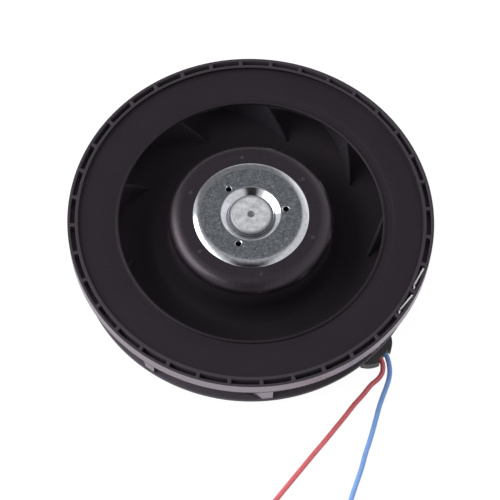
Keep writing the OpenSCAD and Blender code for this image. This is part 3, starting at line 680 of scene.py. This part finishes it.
def zinc_plate():
    """Bluish zinc: a crystalline spangle, cloudy patches and pale specks break up what it mirrors"""
    s = Surface("Zinc-plated deep-drawn steel")
    spangle = s.level(s.cells(0.4 * MM), 0.2, 0.8)
    cloud = s.spread(s.noise(1.4 * MM, 4, 0.7))
    speck = s.level(s.noise(0.5 * MM, 2), 0.55, 0.7)
    colour = s.blend(s.combine("MULTIPLY", spangle, cloud), "#8a9097", "#c2c8ce")
    colour = s.blend(s.combine("MULTIPLY", speck, 0.5), colour, "#e4e7ea")
    s.set(Base_Color=colour, Metallic=1.0, Roughness=s.level(cloud, 0, 1, 0.12, 0.24))
    return s.bump(s.combine("ADD", cloud, spangle), 0.015 * MM, 0.4).material


def cast_zinc():
    """Pale satin metal: die-cast skin with soft blotches and a few darker pores"""
    s = Surface("Die-cast zinc, as cast")
    blotch = s.spread(s.noise(1.5 * MM, 4, 0.65))
    pores = s.level(s.noise(0.5 * MM, 2), 0.66, 0.74)
    colour = s.blend(blotch, "#aeafb3", "#dadbdf")
    colour = s.blend(pores, colour, "#85868a")
    colour = s.blend(s.level(s.radius(), 0.9 * MM, 1.2 * MM), "#68696d", colour)  # painted shade in the dimple
    colour = s.blend(s.level(s.radius(), 5 * MM, 5.7 * MM), colour, "#909195")  # and painted shade round the edge, where the boss meets the dish
    s.set(Base_Color=colour, Metallic=0.6, Roughness=s.level(blotch, 0, 1, 0.46, 0.6))
    return s.bump(blotch, 0.02 * MM, 0.4).material


def bare_steel(name, dark, pale, rough, metal=1.0):
    """Ground or rolled steel: fine level streaks break up what it mirrors"""
    s = Surface(name)
    streak = s.noise(0.4 * MM, 3, 0.6, s.stretch(0.25, 0.25, 3))
    s.set(Base_Color=s.blend(streak, dark, pale), Metallic=metal,
          Roughness=s.spread(streak, rough, rough + 0.15))
    return s.bump(streak, 0.002 * MM, 0.3).material


def moulded(name, dark, pale, rough):
    """Plain moulded plastic: faint clouding and a slight orange peel that softens its highlights"""
    s = Surface(name)
    cloud = s.noise(5 * MM, 2)
    peel = s.noise(0.4 * MM, 2)
    s.set(Base_Color=s.blend(s.spread(cloud), dark, pale), Roughness=s.spread(peel, rough, rough + 0.12))
    return s.bump(peel, 0.01 * MM, 0.5).material


def insulation(name, dark, pale):
    """Extruded PVC: a soft sheen with a faint waviness along the lead"""
    s = Surface(name)
    wave = s.noise(2.5 * MM, 2)
    dust = s.noise(0.3 * MM, 3)
    s.set(Base_Color=s.blend(s.spread(wave), dark, pale), Roughness=s.spread(dust, 0.34, 0.5))
    return s.bump(dust, 0.006 * MM, 0.5).material


def ferrite():
    """Dull grey-black bonded magnet with a powdery speckle"""
    s = Surface("Bonded ferrite, pressed")
    powder = s.noise(0.25 * MM, 3)
    s.set(Base_Color=s.blend(powder, "#2b2827", "#4a4442"), Roughness=0.75)
    return s.bump(powder, 0.01 * MM).material


def brass():
    """Turned brass: warm metal with fine tool rings"""
    s = Surface("Turned brass")
    rings = s.noise(0.3 * MM, 2, 0.5, s.stretch(0.1, 0.1, 4))
    s.set(Base_Color=s.blend(rings, "#9c7c3e", "#c9a861"), Metallic=1.0, Roughness=0.32)
    return s.bump(rings, 0.005 * MM).material


def laminations():
    """Punched sheets of 0.5 mm, seen as fine dark lines round the stack"""
    s = Surface("Laminated electrical steel, punched")
    seam = s.level(s.bands(0.5 * MM, "Z"), 0.0, 0.15)
    s.set(Base_Color=s.blend(seam, "#3a3c40", "#94979b"), Metallic=0.9, Roughness=0.42)
    return s.bump(seam, 0.03 * MM).material


def copper_wire():
    """Wound enamelled wire: strands side by side under a clear film"""
    s = Surface("Enamelled copper wire, wound")
    strand = s.bands(0.3 * MM, "DIAGONAL")
    s.set(Base_Color=s.blend(strand, "#6d3216", "#c0713a"), Metallic=0.8, Roughness=0.3, Coat_Weight=0.6)
    return s.bump(strand, 0.08 * MM).material


def laminate_board():
    """Green solder resist over a faint glass weave and traces"""
    s = Surface("Glass-fibre board with green resist")
    weave = s.cells(0.8 * MM, "SMOOTH_F1", "Distance")
    trace = s.level(s.noise(2.2 * MM, 0), 0.48, 0.52)
    colour = s.blend(trace, "#1f5a39", "#2c7a4d")
    s.set(Base_Color=colour, Roughness=s.level(weave, 0, 1, 0.3, 0.45), Coat_Weight=0.3)
    return s.bump(weave, 0.01 * MM, 0.5).material


def cast_aluminium():
    """Grey blasted casting: a fine sandy grain with dull cloudy patches"""
    s = Surface("Die-cast aluminium, blasted")
    grain = s.noise(0.35 * MM, 4, 0.6)
    cloud = s.noise(8 * MM, 2)
    s.set(Base_Color=s.blend(s.spread(cloud), "#8f9194", "#b0b2b4"), Metallic=0.9,
          Roughness=s.spread(grain, 0.45, 0.62))
    return s.bump(grain, 0.04 * MM, 0.6).material


def tinned_strands():
    """Dipped tin over twisted strands: a bright skin with slanting ridges"""
    s = Surface("Tinned copper strands, dipped")
    strand = s.bands(0.25 * MM, "DIAGONAL", 1.0)
    s.set(Base_Color=s.blend(strand, "#a7a9ac", "#d9dbde"), Metallic=1.0, Roughness=0.28)
    return s.bump(strand, 0.04 * MM).material


# CAD nodes that keep their shapes get the material of their slot, and the cords that of their insulation
SLOT_MATERIALS = {
    "ground_steel": lambda: bare_steel("Ground shaft steel", "#9ea1a4", "#c4c6c8", 0.18),
    "spring_steel": lambda: bare_steel("Blued spring steel", "#565a62", "#7c8087", 0.3),
    "bearing_steel": lambda: bare_steel("Polished bearing steel", "#b4b6b9", "#d2d4d6", 0.1),
    "cage_plastic": lambda: moulded("Glass-filled cage nylon", "#c9b88a", "#d9cba3", 0.45),
    "bonded_ferrite": ferrite,
    "turned_brass": brass,
    "lamination_steel": laminations,
    "insulator_plastic": lambda: moulded("Ivory insulator plastic", "#cbc7ba", "#dcd9cf", 0.42),
    "enamelled_copper": copper_wire,
    "board_laminate": laminate_board,
    "chip_plastic": lambda: moulded("Black moulding compound", "#18181a", "#232326", 0.55),
    "capacitor_resin": lambda: moulded("Amber capacitor resin", "#a97630", "#bf8d42", 0.35),
    "red_insulation": lambda: insulation("Red PVC insulation, extruded", *tones("red")),
    "blue_insulation": lambda: insulation("Blue PVC insulation, extruded", *tones("blue")),
}


# Pieces


def shroud_wedge(s, material):
    """The part of the shroud ring from the middle of one web to the next, with one pocket"""
    low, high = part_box("shroud_ring")
    outer, top, bottom = high.x, high.z, low.z
    pocket_out = outer - s.outer_wall
    pocket_in = pocket_out - s.pocket_width
    ring_in = pocket_in - s.inner_wall
    floor = bottom + s.pocket_floor
    face_ring = top - s.face_drop
    face_inlet = face_ring - s.face_fall
    under = face_inlet - s.thickness
    bead = (s.inlet_radius + s.bead_radius, face_inlet + s.bead_proud - s.bead_radius)
    foot = math.degrees(math.asin((face_inlet - s.trough - bead[1]) / s.bead_radius))
    span = ring_in - bead[0]
    even_share, trough_share = 0.7, 0.3
    face = [(ring_in - span * t, face_ring - s.face_fall * t) for t in (0.0, 0.25, 0.5, even_share)]
    # beside the bead the face sinks into a shallow trough
    trough_in = bead[0] + s.bead_radius
    reach = span * trough_share - s.bead_radius
    face += [(trough_in + reach * t, face_inlet - s.trough * smooth(1 - t)) for t in (0.8, 0.6, 0.4, 0.2)]
    profile = [
        (pocket_in, top), (ring_in, top), *face, *arc(bead, s.bead_radius, foot, 270, 18), (bead[0], under),
        (bead[0] + span / 2, under), (ring_in, under), (ring_in, bottom), (outer, bottom),
        (outer, bottom + s.dull_foot), (outer, top), (pocket_out, top),
    ]
    pitch = 2 * math.pi / s.pocket_count
    half_web = math.asin(s.web / (pocket_in + pocket_out))
    steps = 10
    inner = [half_web + (pitch - 2 * half_web) * i / steps for i in range(steps + 1)]
    angles = [0.0, *inner, pitch]
    bm = bmesh.new()
    rows = [[bm.verts.new(turned(r, z, a)) for r, z in profile] for a in angles]
    floors = {i: [bm.verts.new(turned(r, floor, a)) for r in (pocket_out, pocket_in)]
              for i, a in enumerate(angles) if 0 < i < len(angles) - 1}
    for i in range(len(angles) - 1):
        here, there = rows[i], rows[i + 1]
        for k in range(len(profile) - 1):
            bm.faces.new((here[k], there[k], there[k + 1], here[k + 1]))
        if i in floors and i + 1 in floors:
            pocket = [(here[-1], there[-1]), *zip(floors[i], floors[i + 1]), (here[0], there[0])]
            for (a, b), (c, d) in zip(pocket, pocket[1:]):
                bm.faces.new((a, b, d, c))
        else:
            bm.faces.new((here[-1], there[-1], there[0], here[0]))
    for i in (1, len(angles) - 2):
        bm.faces.new((rows[i][-1], floors[i][0], floors[i][1], rows[i][0]))
    return new_object("shroud_ring_piece", clean(bm), material)


def hub_profile(s):
    """Section of the hub and the back disc"""
    low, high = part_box("impeller")
    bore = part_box("rotor_pot")[1].x
    face_bore = bpy.context.scene.fan_rotor.face_radius
    return rounded([
        (face_bore, high.z - s.lip, 0), (face_bore, high.z, s.bore_edge),
        (s.crown_radius, high.z, s.crown_round), (s.hub_radius, high.z - s.shoulder_drop, s.shoulder),
        (s.hub_radius, low.z + s.disc, s.fillet), (s.painted_edge_radius, low.z + s.disc, 0),
        (high.x, low.z + s.disc, s.disc_edge), (high.x, low.z, s.disc_edge),
        (bore, low.z, 0), (bore, high.z - s.lip, 0),
    ], 12)


def blade_mesh(s, material):
    """One blade: a round nose that leans out, a tip near the disc's edge and a notch under the rim"""
    shroud = bpy.context.scene.fan_shroud
    ring_low, ring_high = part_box("shroud_ring")
    low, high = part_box("impeller")
    tip = high.x - s.tip_inset
    notch = ring_high.x - shroud.outer_wall - shroud.pocket_width - shroud.inner_wall
    under = ring_high.z - shroud.face_drop - shroud.face_fall - shroud.thickness
    base = low.z + s.disc - s.sunk
    half = s.blade / 2
    # the mean line is one arc that meets the foot's and the tip's circles at the stated angles
    spread = tip * math.cos(s.angle_out) - s.foot_radius * math.cos(s.angle_in)
    mean = (tip ** 2 - s.foot_radius ** 2) / (2 * spread)
    centre = Vector((tip - mean * math.cos(s.angle_out), mean * math.sin(s.angle_out)))
    away = centre.length

    def turn(radius, r):
        """Direction from the arc's centre to where an arc about it is at r from the axis"""
        share = (r ** 2 - away ** 2 - radius ** 2) / (2 * radius * away)
        return math.atan2(centre.y, centre.x) - math.acos(share)

    def spot(radius, a):
        return centre + radius * Vector((math.cos(a), math.sin(a)))

    before_notch = 0.35 * MM
    inside, outside = [notch - before_notch, notch], [(notch + tip) / 2, tip]
    rows, steps, nose_steps = 6, 24, 8
    levels = [base + (ring_low.z - base) * i / rows for i in range(rows + 1)] + [under]
    bm = bmesh.new()
    loops = []
    for z in levels:
        lead = s.foot_radius + (s.head_radius - s.foot_radius) * (z - base) / (under - base)
        nose = turn(mean, lead + half)
        sides = []
        for radius in (mean + half, mean - half):
            last = turn(radius, inside[0])
            run = [nose + (last - nose) * i / steps for i in range(steps)]
            run += [turn(radius, r) for r in (inside if z == under else inside + outside)]
            sides.append([spot(radius, a) for a in run])
        front = [spot(mean, nose) + half * Vector((math.cos(nose - t), math.sin(nose - t)))
                 for t in (math.pi * i / nose_steps for i in range(1, nose_steps))]
        loops.append([bm.verts.new((p.x, p.y, z)) for p in sides[0][::-1] + front + sides[1]])
    for lower, upper in zip(loops, loops[1:]):
        skip = (len(lower) - len(upper)) // 2
        for i in range(len(upper)):
            j = (i + 1) % len(upper)
            bm.faces.new((lower[skip + i], lower[skip + j], upper[j], upper[i]))
    # the foot, the top under the shroud and the ledge under the rim are closed by pairs of opposite points
    top = steps + len(inside) - 1
    ledge = len(outside)
    for loop, pairs in ((loops[0], top + ledge), (loops[-1], top), (loops[-2], ledge)):
        for i in range(pairs):
            bm.faces.new((loop[i], loop[i + 1], loop[-2 - i], loop[-1 - i]))
        if pairs > ledge:
            bm.faces.new(loop[pairs:-pairs])
    return new_object("impeller_blades", clean(bm), material)


def disc_cutter(name, circle, diameter, bottom, top, flare=0.0):
    """A round cutter at a distance along X from the axis, widened at its top"""
    narrow, wide, over = diameter / 2, diameter / 2 + flare, top + MM
    bm = revolve([
        (0, bottom), (narrow, bottom), (narrow, top - flare), (wide, top), (wide, over), (0, over),
    ], 32)
    bmesh.ops.translate(bm, vec=(circle, 0, 0), verts=bm.verts)
    return new_object(name, bm, None)


class FAN_OT_shroud(Operator):
    """Builds the shroud ring with its balancing pockets and its polished rim"""

    bl_idname = "fan.shroud"
    bl_label = "Shroud ring"

    def execute(self, context):
        s = context.scene.fan_shroud
        low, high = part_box("shroud_ring")
        piece = shroud_wedge(s, matt_plastic(high.z))
        copies_round(piece, s.pocket_count, s.web_angle)
        wall, face = high.x - s.outer_wall / 4, high.z - s.face_drop
        pocket = high.x - s.outer_wall - s.pocket_width - SLACK
        repaint(piece, polished_plastic(), lambda r, z: r > wall and z > low.z + s.dull_foot)
        # painted fill light: the pockets are painted paler in their shade
        repaint(piece, painted_pale_plastic("#524c53"), lambda r, z: pocket < r < wall and z < face)
        round_edges(piece, s.edge)
        settle(piece, "rotor", "black_plastic", "shroud_ring")
        return {"FINISHED"}


class FAN_OT_clips(Operator):
    """Builds the bent strips that balance the impeller"""

    bl_idname = "fan.clips"
    bl_label = "Balancing clips"

    def execute(self, context):
        c, s = context.scene.fan_clips, context.scene.fan_shroud
        low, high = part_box("balance_clips")
        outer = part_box("shroud_ring")[1].x - s.outer_wall
        inner = outer - s.pocket_width
        half, bend_y = c.length / 2, c.end - c.length / 2
        bend = Vector((math.sqrt((inner + c.slack) ** 2 - bend_y ** 2) + c.strip / 2, bend_y))
        line = [Vector((math.sqrt((outer - c.slack) ** 2 - half ** 2) - c.strip / 2, half)), bend,
                bend + c.end * Vector((math.sin(c.turn), -math.cos(c.turn)))]
        along = [(b - a).normalized() for a, b in zip(line, line[1:])]
        long, short = (Vector((t.y, -t.x)) * c.strip / 2 for t in along)
        sides = [long, (long + short) / (1 + long.normalized().dot(short.normalized())), short]
        pairs = list(zip(line, sides))
        outline = [p + o for p, o in pairs] + [p - o for p, o in reversed(pairs)]
        bm = bmesh.new()
        foot = bm.faces.new([bm.verts.new((p.x, p.y, low.z)) for p in outline])
        grown = bmesh.ops.extrude_face_region(bm, geom=[foot])["geom"]
        tops = [v for v in grown if isinstance(v, bmesh.types.BMVert)]
        bmesh.ops.translate(bm, vec=(0, 0, high.z - low.z), verts=tops)
        # near-white: the pale zinc-flake coat, and a painted highlight along the top edges that sit in the
        # pockets' shade
        steel = bare_steel("Spring strip with zinc flakes", "#e8e8ea", "#f6f6f7", 0.4, 0.2)
        piece = new_object("balance_clip_strips", clean(bm), steel)
        slot = bmesh.new()
        size = Matrix.Diagonal((s.pocket_width, c.notch, 2 * c.notch_depth, 1))
        bmesh.ops.create_cube(slot, size=1, matrix=Matrix.Translation((bend.x, bend.y, high.z)) @ size)
        cut(piece, new_object("clip_notch", slot, steel))
        copies_round(piece, c.number, c.first, c.pitch)
        round_edges(piece, c.edge)
        settle(piece, "rotor", "spring_steel", "balance_clips")
        return {"FINISHED"}


class FAN_OT_impeller(Operator):
    """Builds the hub with its back disc and gate marks, and the blades"""

    bl_idname = "fan.impeller"
    bl_label = "Impeller"

    def execute(self, context):
        s = context.scene.fan_impeller
        low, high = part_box("impeller")
        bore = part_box("rotor_pot")[1].x + SLACK
        gate_floor = high.z - s.gate_depth
        hub = new_object("impeller_hub", revolve(hub_profile(s)), satin_plastic())
        marks = disc_cutter("gate_marks", s.gate_circle, s.gate, gate_floor, high.z)
        copies_round(marks, s.gate_count, s.gate_angle)
        cut(hub, marks)
        # painted fill light: the back disc is painted paler near its edge, under the rim
        repaint(hub, painted_pale_plastic("#57525a"), lambda r, z: r > s.painted_edge_radius and z > low.z + s.disc / 2)
        repaint(hub, floor_plastic(), lambda r, z: bore < r < s.painted_edge_radius and z < high.z - s.satin)
        # the gate marks' floors are painted paler than the hub
        repaint(hub, painted_pale_plastic("#3a363c"),
                lambda r, z: abs(r - s.gate_circle) < s.gate and abs(gate_floor - z) < s.gate_depth / 4)
        round_edges(hub, s.edge, 2)
        settle(hub, "rotor", "black_plastic", "impeller")
        blades = blade_mesh(s, blade_plastic())
        copies_round(blades, s.blade_count, s.tip_angle)
        repaint(blades, polished_plastic(), lambda r, z: r > high.x - s.polish)
        round_edges(blades, s.blade_edge, 2, 50)
        settle(blades, "rotor", "black_plastic")
        return {"FINISHED"}


class FAN_OT_rotor(Operator):
    """Builds the rotor's drawn pot with its dish and holes, and the boss that holds the shaft"""

    bl_idname = "fan.rotor"
    bl_label = "Rotor"

    def execute(self, context):
        s, hub = context.scene.fan_rotor, context.scene.fan_impeller
        low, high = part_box("rotor_pot")
        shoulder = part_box("impeller")[1].z - hub.lip
        floor = high.z - s.dish_depth
        dish_out = s.dish_radius + s.sheet
        pot = new_object("rotor_pot_piece", revolve(rounded([
            (s.neck, floor, 0), (s.dish_foot, floor, s.dish_fillet), (s.dish_radius, high.z, s.dish_edge),
            (s.face_radius - s.edge_width, high.z, s.edge_crease),
            (s.face_radius, high.z - s.edge_height, s.edge_corner), (s.face_radius, shoulder, 0),
            (high.x, shoulder, 0), (high.x, low.z, 0), (high.x - s.wall, low.z, 0),
            (high.x - s.wall, shoulder - s.wall, 0), (s.face_radius - s.wall, shoulder - s.wall, 0),
            (s.face_radius - s.wall, high.z - s.sheet, 0), (dish_out, high.z - s.sheet, 0),
            (dish_out, floor - s.sheet, 0), (s.neck, floor - s.sheet, 0),
        ])), zinc_plate())
        holes = disc_cutter("holes", s.hole_circle, s.hole, high.z - 2 * s.sheet, high.z, s.countersink)
        copies_round(holes, s.hole_count, s.hole_angle)
        cut(pot, holes)
        rim = s.face_radius - s.burnish
        foot, lip = s.dish_foot - s.burnish_foot, s.dish_radius + s.burnish_lip
        repaint(pot, burnished_zinc(), lambda r, z: z > shoulder and (r > rim or foot < r < lip))
        round_edges(pot, 0)
        settle(pot, "rotor", "zinc_plated_steel", "rotor_pot")
        self.boss(s, floor)
        return {"FINISHED"}

    def boss(self, s, floor):
        """The boss in the dish, from its dimpled face down to the foot of its stem"""
        low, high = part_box("shaft_boss")
        shaft_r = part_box("shaft")[1].x
        stem, under = shaft_r + s.stem_wall, floor - s.sheet
        boss = new_object("shaft_boss_piece", revolve(rounded([
            (0, high.z - s.dimple_depth, 0), (s.dimple / 2, high.z, s.dimple_edge),
            (high.x, high.z, s.boss_edge), (high.x, floor, 0), (s.neck, floor, 0), (s.neck, under, 0),
            (s.collar, under, 0), (s.collar, under - s.collar_height, 0), (stem, under - s.collar_height, 0),
            (stem, low.z, 0), (shaft_r, low.z, 0), (shaft_r, floor, 0), (0, floor, 0),
        ]), 96), cast_zinc())
        round_edges(boss, 0)
        settle(boss, "rotor", "cast_zinc", "shaft_boss")


class FAN_OT_base(Operator):
    """Builds the mounting flange, the lead guide and its cover with rounded edges"""

    bl_idname = "fan.base"
    bl_label = "Flange and lead guide"

    def execute(self, context):
        s = context.scene.fan_guide
        grey = moulded("Grey guide plastic", *tones("guide"), 0.5)
        # what lies outside the lug's curved front
        low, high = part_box("lead_guide")
        bottom, top, far = low.z - MM, high.z + MM, s.front + s.cleared
        profile = [(s.front, bottom), (far, bottom), (far, top), (s.front, top)]
        outside = revolve(profile, 90, -math.pi / 2, math.pi)
        place = Matrix.Rotation(s.outlet, 4, "Z") @ Matrix.Translation((s.reach - s.front, s.aside, 0))
        bmesh.ops.transform(outside, matrix=place, verts=outside.verts)
        front = new_object("lug_front", outside, grey)
        for node, slot, material, edge in (
            ("mounting_flange", "cast_aluminium", cast_aluminium(), s.thin_edge),
            ("lead_guide", "grey_plastic", grey, s.edge),
            ("lead_guide_cover", "grey_plastic", grey, s.thin_edge),
        ):
            piece = new_object(node + "_piece", cad_copy(node), material)
            if node == "lead_guide":
                cut(piece, front)
            round_edges(piece, edge)
            settle(piece, "stator", slot, node)
        return {"FINISHED"}


def coil_points(s, route, centre, end):
    """Turns of a coil: two rows of two turns and a last one on top, each change before the one below"""
    d = s.diameter
    row = s.tie + d / 2
    upper = row + d
    lanes = [(d / 2, row), (-d / 2, row), (-d / 2, upper), (d / 2, upper), (0.0, row + (1 + NESTED) * d)]
    start = math.atan2(route[-1].y - centre.y, route[-1].x - centre.x)
    travel = (end - start) % (2 * math.pi) + (len(lanes) - 1) * 2 * math.pi
    steps = round(travel / s.step)
    points = []
    for i in range(1, steps + 1):
        gone = travel * i / steps
        offset, z = lanes[0]
        for turn in range(1, len(lanes)):
            begin = turn * 2 * math.pi - turn * s.change
            share = smooth((gone - begin) / s.change)
            offset += (lanes[turn][0] - lanes[turn - 1][0]) * share
            z += (lanes[turn][1] - lanes[turn - 1][1]) * share
        a = start + gone
        points.append(centre + Vector(turned(s.coil_radius + offset, z, a)))
    return points


def cord_curve(name, points, diameter, material):
    """A round cord along a smooth curve through points"""
    curve = bpy.data.curves.new(name, "CURVE")
    curve.dimensions = "3D"
    curve.bevel_depth = diameter / 2
    curve.bevel_resolution = 5
    curve.resolution_u = 5
    curve.use_fill_caps = True
    spline = curve.splines.new("BEZIER")
    spline.bezier_points.add(len(points) - 1)
    for knot, point in zip(spline.bezier_points, points):
        knot.co = point
        knot.handle_left_type = "AUTO"
        knot.handle_right_type = "AUTO"
    curve.materials.append(material)
    return placed(name, curve)


class FAN_OT_leads(Operator):
    """Lays the two leads from the outlet lug to their coils, with their ties and tinned ends"""

    bl_idname = "fan.leads"
    bl_label = "Leads"

    def execute(self, context):
        s = context.scene.fan_leads
        tie = moulded("Black tie plastic", "#1f1f21", "#2a2a2c", 0.4)
        tin = tinned_strands()
        nodes = frame["nodes"]
        for colour, millimetres in (("red", RED_ROUTE), ("blue", BLUE_ROUTE)):
            route = [Vector(p) * MM for p in millimetres]
            low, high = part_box(colour + "_coil")
            centre = Vector(((low.x + high.x) / 2, (low.y + high.y) / 2, 0))
            tip_low, tip_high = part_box(colour + "_tip")
            tip = (tip_low + tip_high) / 2 - centre
            reach = math.hypot(tip.x, tip.y)
            end = math.atan2(tip.y, tip.x) - math.acos(min(1.0, s.coil_radius / reach))
            material = SLOT_MATERIALS[colour + "_insulation"]()
            points = route + coil_points(s, route, centre, end)
            cord = cord_curve(colour + "_lead_cord", points, s.diameter, material)
            settle(cord, "stator", colour + "_insulation", colour + "_lead", colour + "_coil")
            nodes[colour + "_tie"].material_slots[0].material = tie
            nodes[colour + "_tip"].material_slots[0].material = tin
        return {"FINISHED"}


class FAN_OT_inner_materials(Operator):
    """Gives the inner CAD pieces the materials of their slots"""

    bl_idname = "fan.inner_materials"
    bl_label = "Inner materials"

    def execute(self, context):
        made = {}
        for part in frame["record"]["subparts"]:
            slot = part["material_slot"]
            if slot in SLOT_MATERIALS:
                made[slot] = made.get(slot) or SLOT_MATERIALS[slot]()
                frame["nodes"][part["node"]].material_slots[0].material = made[slot]
        return {"FINISHED"}


# Stage


def aim_camera(s):
    """The camera that took the photograph, looking at the middle of the rim's top from the front"""
    target = Vector((0, 0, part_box("shroud_ring")[1].z))
    back = Vector((0, -math.cos(s.elevation), math.sin(s.elevation)))
    right = Vector((1, 0, 0))
    up = right.cross(-back)
    sensor = 36  # its width in millimetres
    focal = s.lens / sensor * s.picture
    look = Matrix((right, -up, -back))
    roll = Matrix.Rotation(s.roll, 3, "Z")
    shift = Vector((s.shift_x / focal, s.shift_y / focal, 1))
    place = Vector((0, 0, 1)).rotation_difference(shift).to_matrix()
    rows = place @ roll @ look
    data = bpy.data.cameras.new("Camera")
    data.lens = s.lens
    data.sensor_width = sensor
    camera = placed("Camera", data)
    camera.matrix_world = Matrix.Translation(target + back * s.distance) @ Matrix(
        (rows[0], -rows[1], -rows[2])).transposed().to_4x4()
    bpy.context.scene.camera = camera


def softbox(name, azimuth, elevation, distance, size, power, tint):
    """A large lamp that looks at the fan from a direction in degrees"""
    data = bpy.data.lights.new(name, "AREA")
    data.shape = "RECTANGLE"
    data.size, data.size_y = size
    data.energy = power
    data.color = tint
    lamp = placed(name, data)
    rise = math.radians(elevation)
    way = turned(math.cos(rise), math.sin(rise), math.radians(azimuth))
    lamp.location = Vector(way) * distance
    lamp.rotation_mode = "QUATERNION"
    lamp.rotation_quaternion = (-lamp.location).to_track_quat("-Z", "Y")


def seen_directly(tree):
    """1 for rays from the camera, from a mirror-like surface or through a clear one"""
    path = add_node(tree, "ShaderNodeLightPath").outputs
    shiny = maths(tree, "MAXIMUM", path["Is Camera Ray"], path["Is Glossy Ray"])
    return maths(tree, "MAXIMUM", shiny, path["Is Transmission Ray"])


def white_world(s):
    """White sides round a dark room from overhead to the camera, as the camera and shiny surfaces see them

    The room opens a little low in front, and the white is greyer low on the right. What is dull gets an
    even light instead, which is weaker from the camera's side.
    """
    world = bpy.data.worlds.new("White studio")
    bpy.context.scene.world = world
    world.use_nodes = True
    tree = world.node_tree
    tree.nodes.clear()
    combine = partial(maths, tree)
    soft = partial(ramp, tree, kind="SMOOTHSTEP")
    # where each change of tone begins and ends, on a direction of length 1
    room_side, room_foot, camera_side, low_front = (0.15, 0.38), (0.1, 0.4), (-0.2, -0.6), (-0.97, -0.8)
    front_ceiling, back_ceiling = (-0.35, 0.2), (0.22, 0.42)
    right_wall, weak_light = (0.25, 0.7), (-0.9, 0.1)

    direction = add_node(tree, "ShaderNodeTexCoord").outputs["Generated"]
    way = add_node(tree, "ShaderNodeSeparateXYZ", {0: direction}).outputs
    # the dark room widens to the left behind the fan, and reaches down to the horizon on the camera's side
    behind = combine("MAXIMUM", way["Y"], 0)
    left = combine("MULTIPLY_ADD", behind, -s.room_slant, combine("MULTIPLY", way["X"], -1))
    side = combine("MAXIMUM", way["X"], left)
    reach = combine("MAXIMUM", soft(way["Z"], *room_foot), soft(way["Y"], *camera_side))
    room = combine("MULTIPLY", soft(side, *room_side, 1, 0), reach)
    # low in front it opens a little
    room = combine("MULTIPLY", room, soft(way["Y"], *low_front, s.front_wall, 1))
    # overhead the room is palest, and it darkens to both sides of that
    near = soft(way["Y"], *front_ceiling, s.darkest, s.overhead)
    dark = combine("MINIMUM", near, soft(way["Y"], *back_ceiling, s.overhead, s.ceiling))
    # low on the right the white is greyer
    low_right = combine("MULTIPLY", way["X"], combine("SUBTRACT", 1, way["Z"]))
    seen = ramp(tree, room, 0, 1, soft(low_right, *right_wall, 1, s.low_right), dark)
    light = soft(way["Y"], *weak_light, s.front_light, s.ambient)
    strength = ramp(tree, seen_directly(tree), 0, 1, light, seen)
    sky = add_node(tree, "ShaderNodeBackground", {"Color": (1, 1, 1, 1), "Strength": strength})
    add_node(tree, "ShaderNodeOutputWorld", {"Surface": sky.outputs[0]})


def white_table(s):
    """A white table: where it is seen, its glow lifts it to white and the fan's soft shadow stays"""
    material = bpy.data.materials.new("White table")
    material.use_nodes = True
    tree = material.node_tree
    tree.nodes.clear()
    paint = add_node(tree, "ShaderNodeBsdfDiffuse", {"Color": (s.paint, s.paint, s.paint, 1)})
    faint = add_node(tree, "ShaderNodeBsdfDiffuse", {"Color": (s.shadow, s.shadow, s.shadow, 1)})
    glow = add_node(tree, "ShaderNodeEmission", {"Color": (1, 1, 1, 1), "Strength": s.glow})
    both = add_node(tree, "ShaderNodeAddShader", {0: faint.outputs[0], 1: glow.outputs[0]})
    shown = add_node(tree, "ShaderNodeMixShader", {
        0: seen_directly(tree), 1: paint.outputs[0], 2: both.outputs[0]})
    add_node(tree, "ShaderNodeOutputMaterial", {"Surface": shown.outputs[0]})
    return material


class FAN_OT_stage(Operator):
    """Sets up the camera, the white table and the lamps of the photograph"""

    bl_idname = "fan.stage"
    bl_label = "Stage"

    def execute(self, context):
        s = context.scene.fan_stage
        aim_camera(s)
        white_world(s)
        bm = bmesh.new()
        bmesh.ops.create_grid(bm, x_segments=1, y_segments=1, size=s.table)
        table = new_object("table", bm, white_table(s))
        for name, azimuth, elevation, size, power, tint in (
            ("Left softbox", 184, 43.7, (0.75, 0.56), s.left_power, (1, 1, 1)),
            ("Right softbox", 28, 22, (1.0, 0.5), s.right_power, (1, 0.95, 0.97)),
        ):
            softbox(name, azimuth, elevation, s.lamp_distance, size, power, tint)
        context.scene.view_settings.view_transform = "Standard"
        return {"FINISHED"}


class FAN_PT_panel(Panel):
    """Buttons for the fan's pieces"""

    bl_label = "Centrifugal fan"
    bl_space_type = "VIEW_3D"
    bl_region_type = "UI"
    bl_category = "Fan"

    def draw(self, context):
        for operator in OPERATORS:
            self.layout.operator(operator.bl_idname)


SETTINGS = {
    "fan_colours": ColourSettings,
    "fan_shroud": ShroudSettings,
    "fan_impeller": ImpellerSettings,
    "fan_rotor": RotorSettings,
    "fan_clips": ClipSettings,
    "fan_guide": GuideSettings,
    "fan_leads": LeadSettings,
    "fan_stage": StageSettings,
}
OPERATORS = [
    FAN_OT_stage, FAN_OT_leads, FAN_OT_shroud, FAN_OT_clips, FAN_OT_impeller, FAN_OT_rotor, FAN_OT_base,
    FAN_OT_inner_materials,
]


def register():
    for kind in [*SETTINGS.values(), *OPERATORS, FAN_PT_panel]:
        bpy.utils.register_class(kind)
    for name, kind in SETTINGS.items():
        setattr(bpy.types.Scene, name, PointerProperty(type=kind))


def unregister():
    for name in SETTINGS:
        delattr(bpy.types.Scene, name)
    for kind in [FAN_PT_panel, *reversed(OPERATORS), *SETTINGS.values()]:
        bpy.utils.unregister_class(kind)


def main():
    register()
    for operator in OPERATORS:
        group, name = operator.bl_idname.split(".")
        getattr(getattr(bpy.ops, group), name)()


if __name__ == "__main__":
    main()
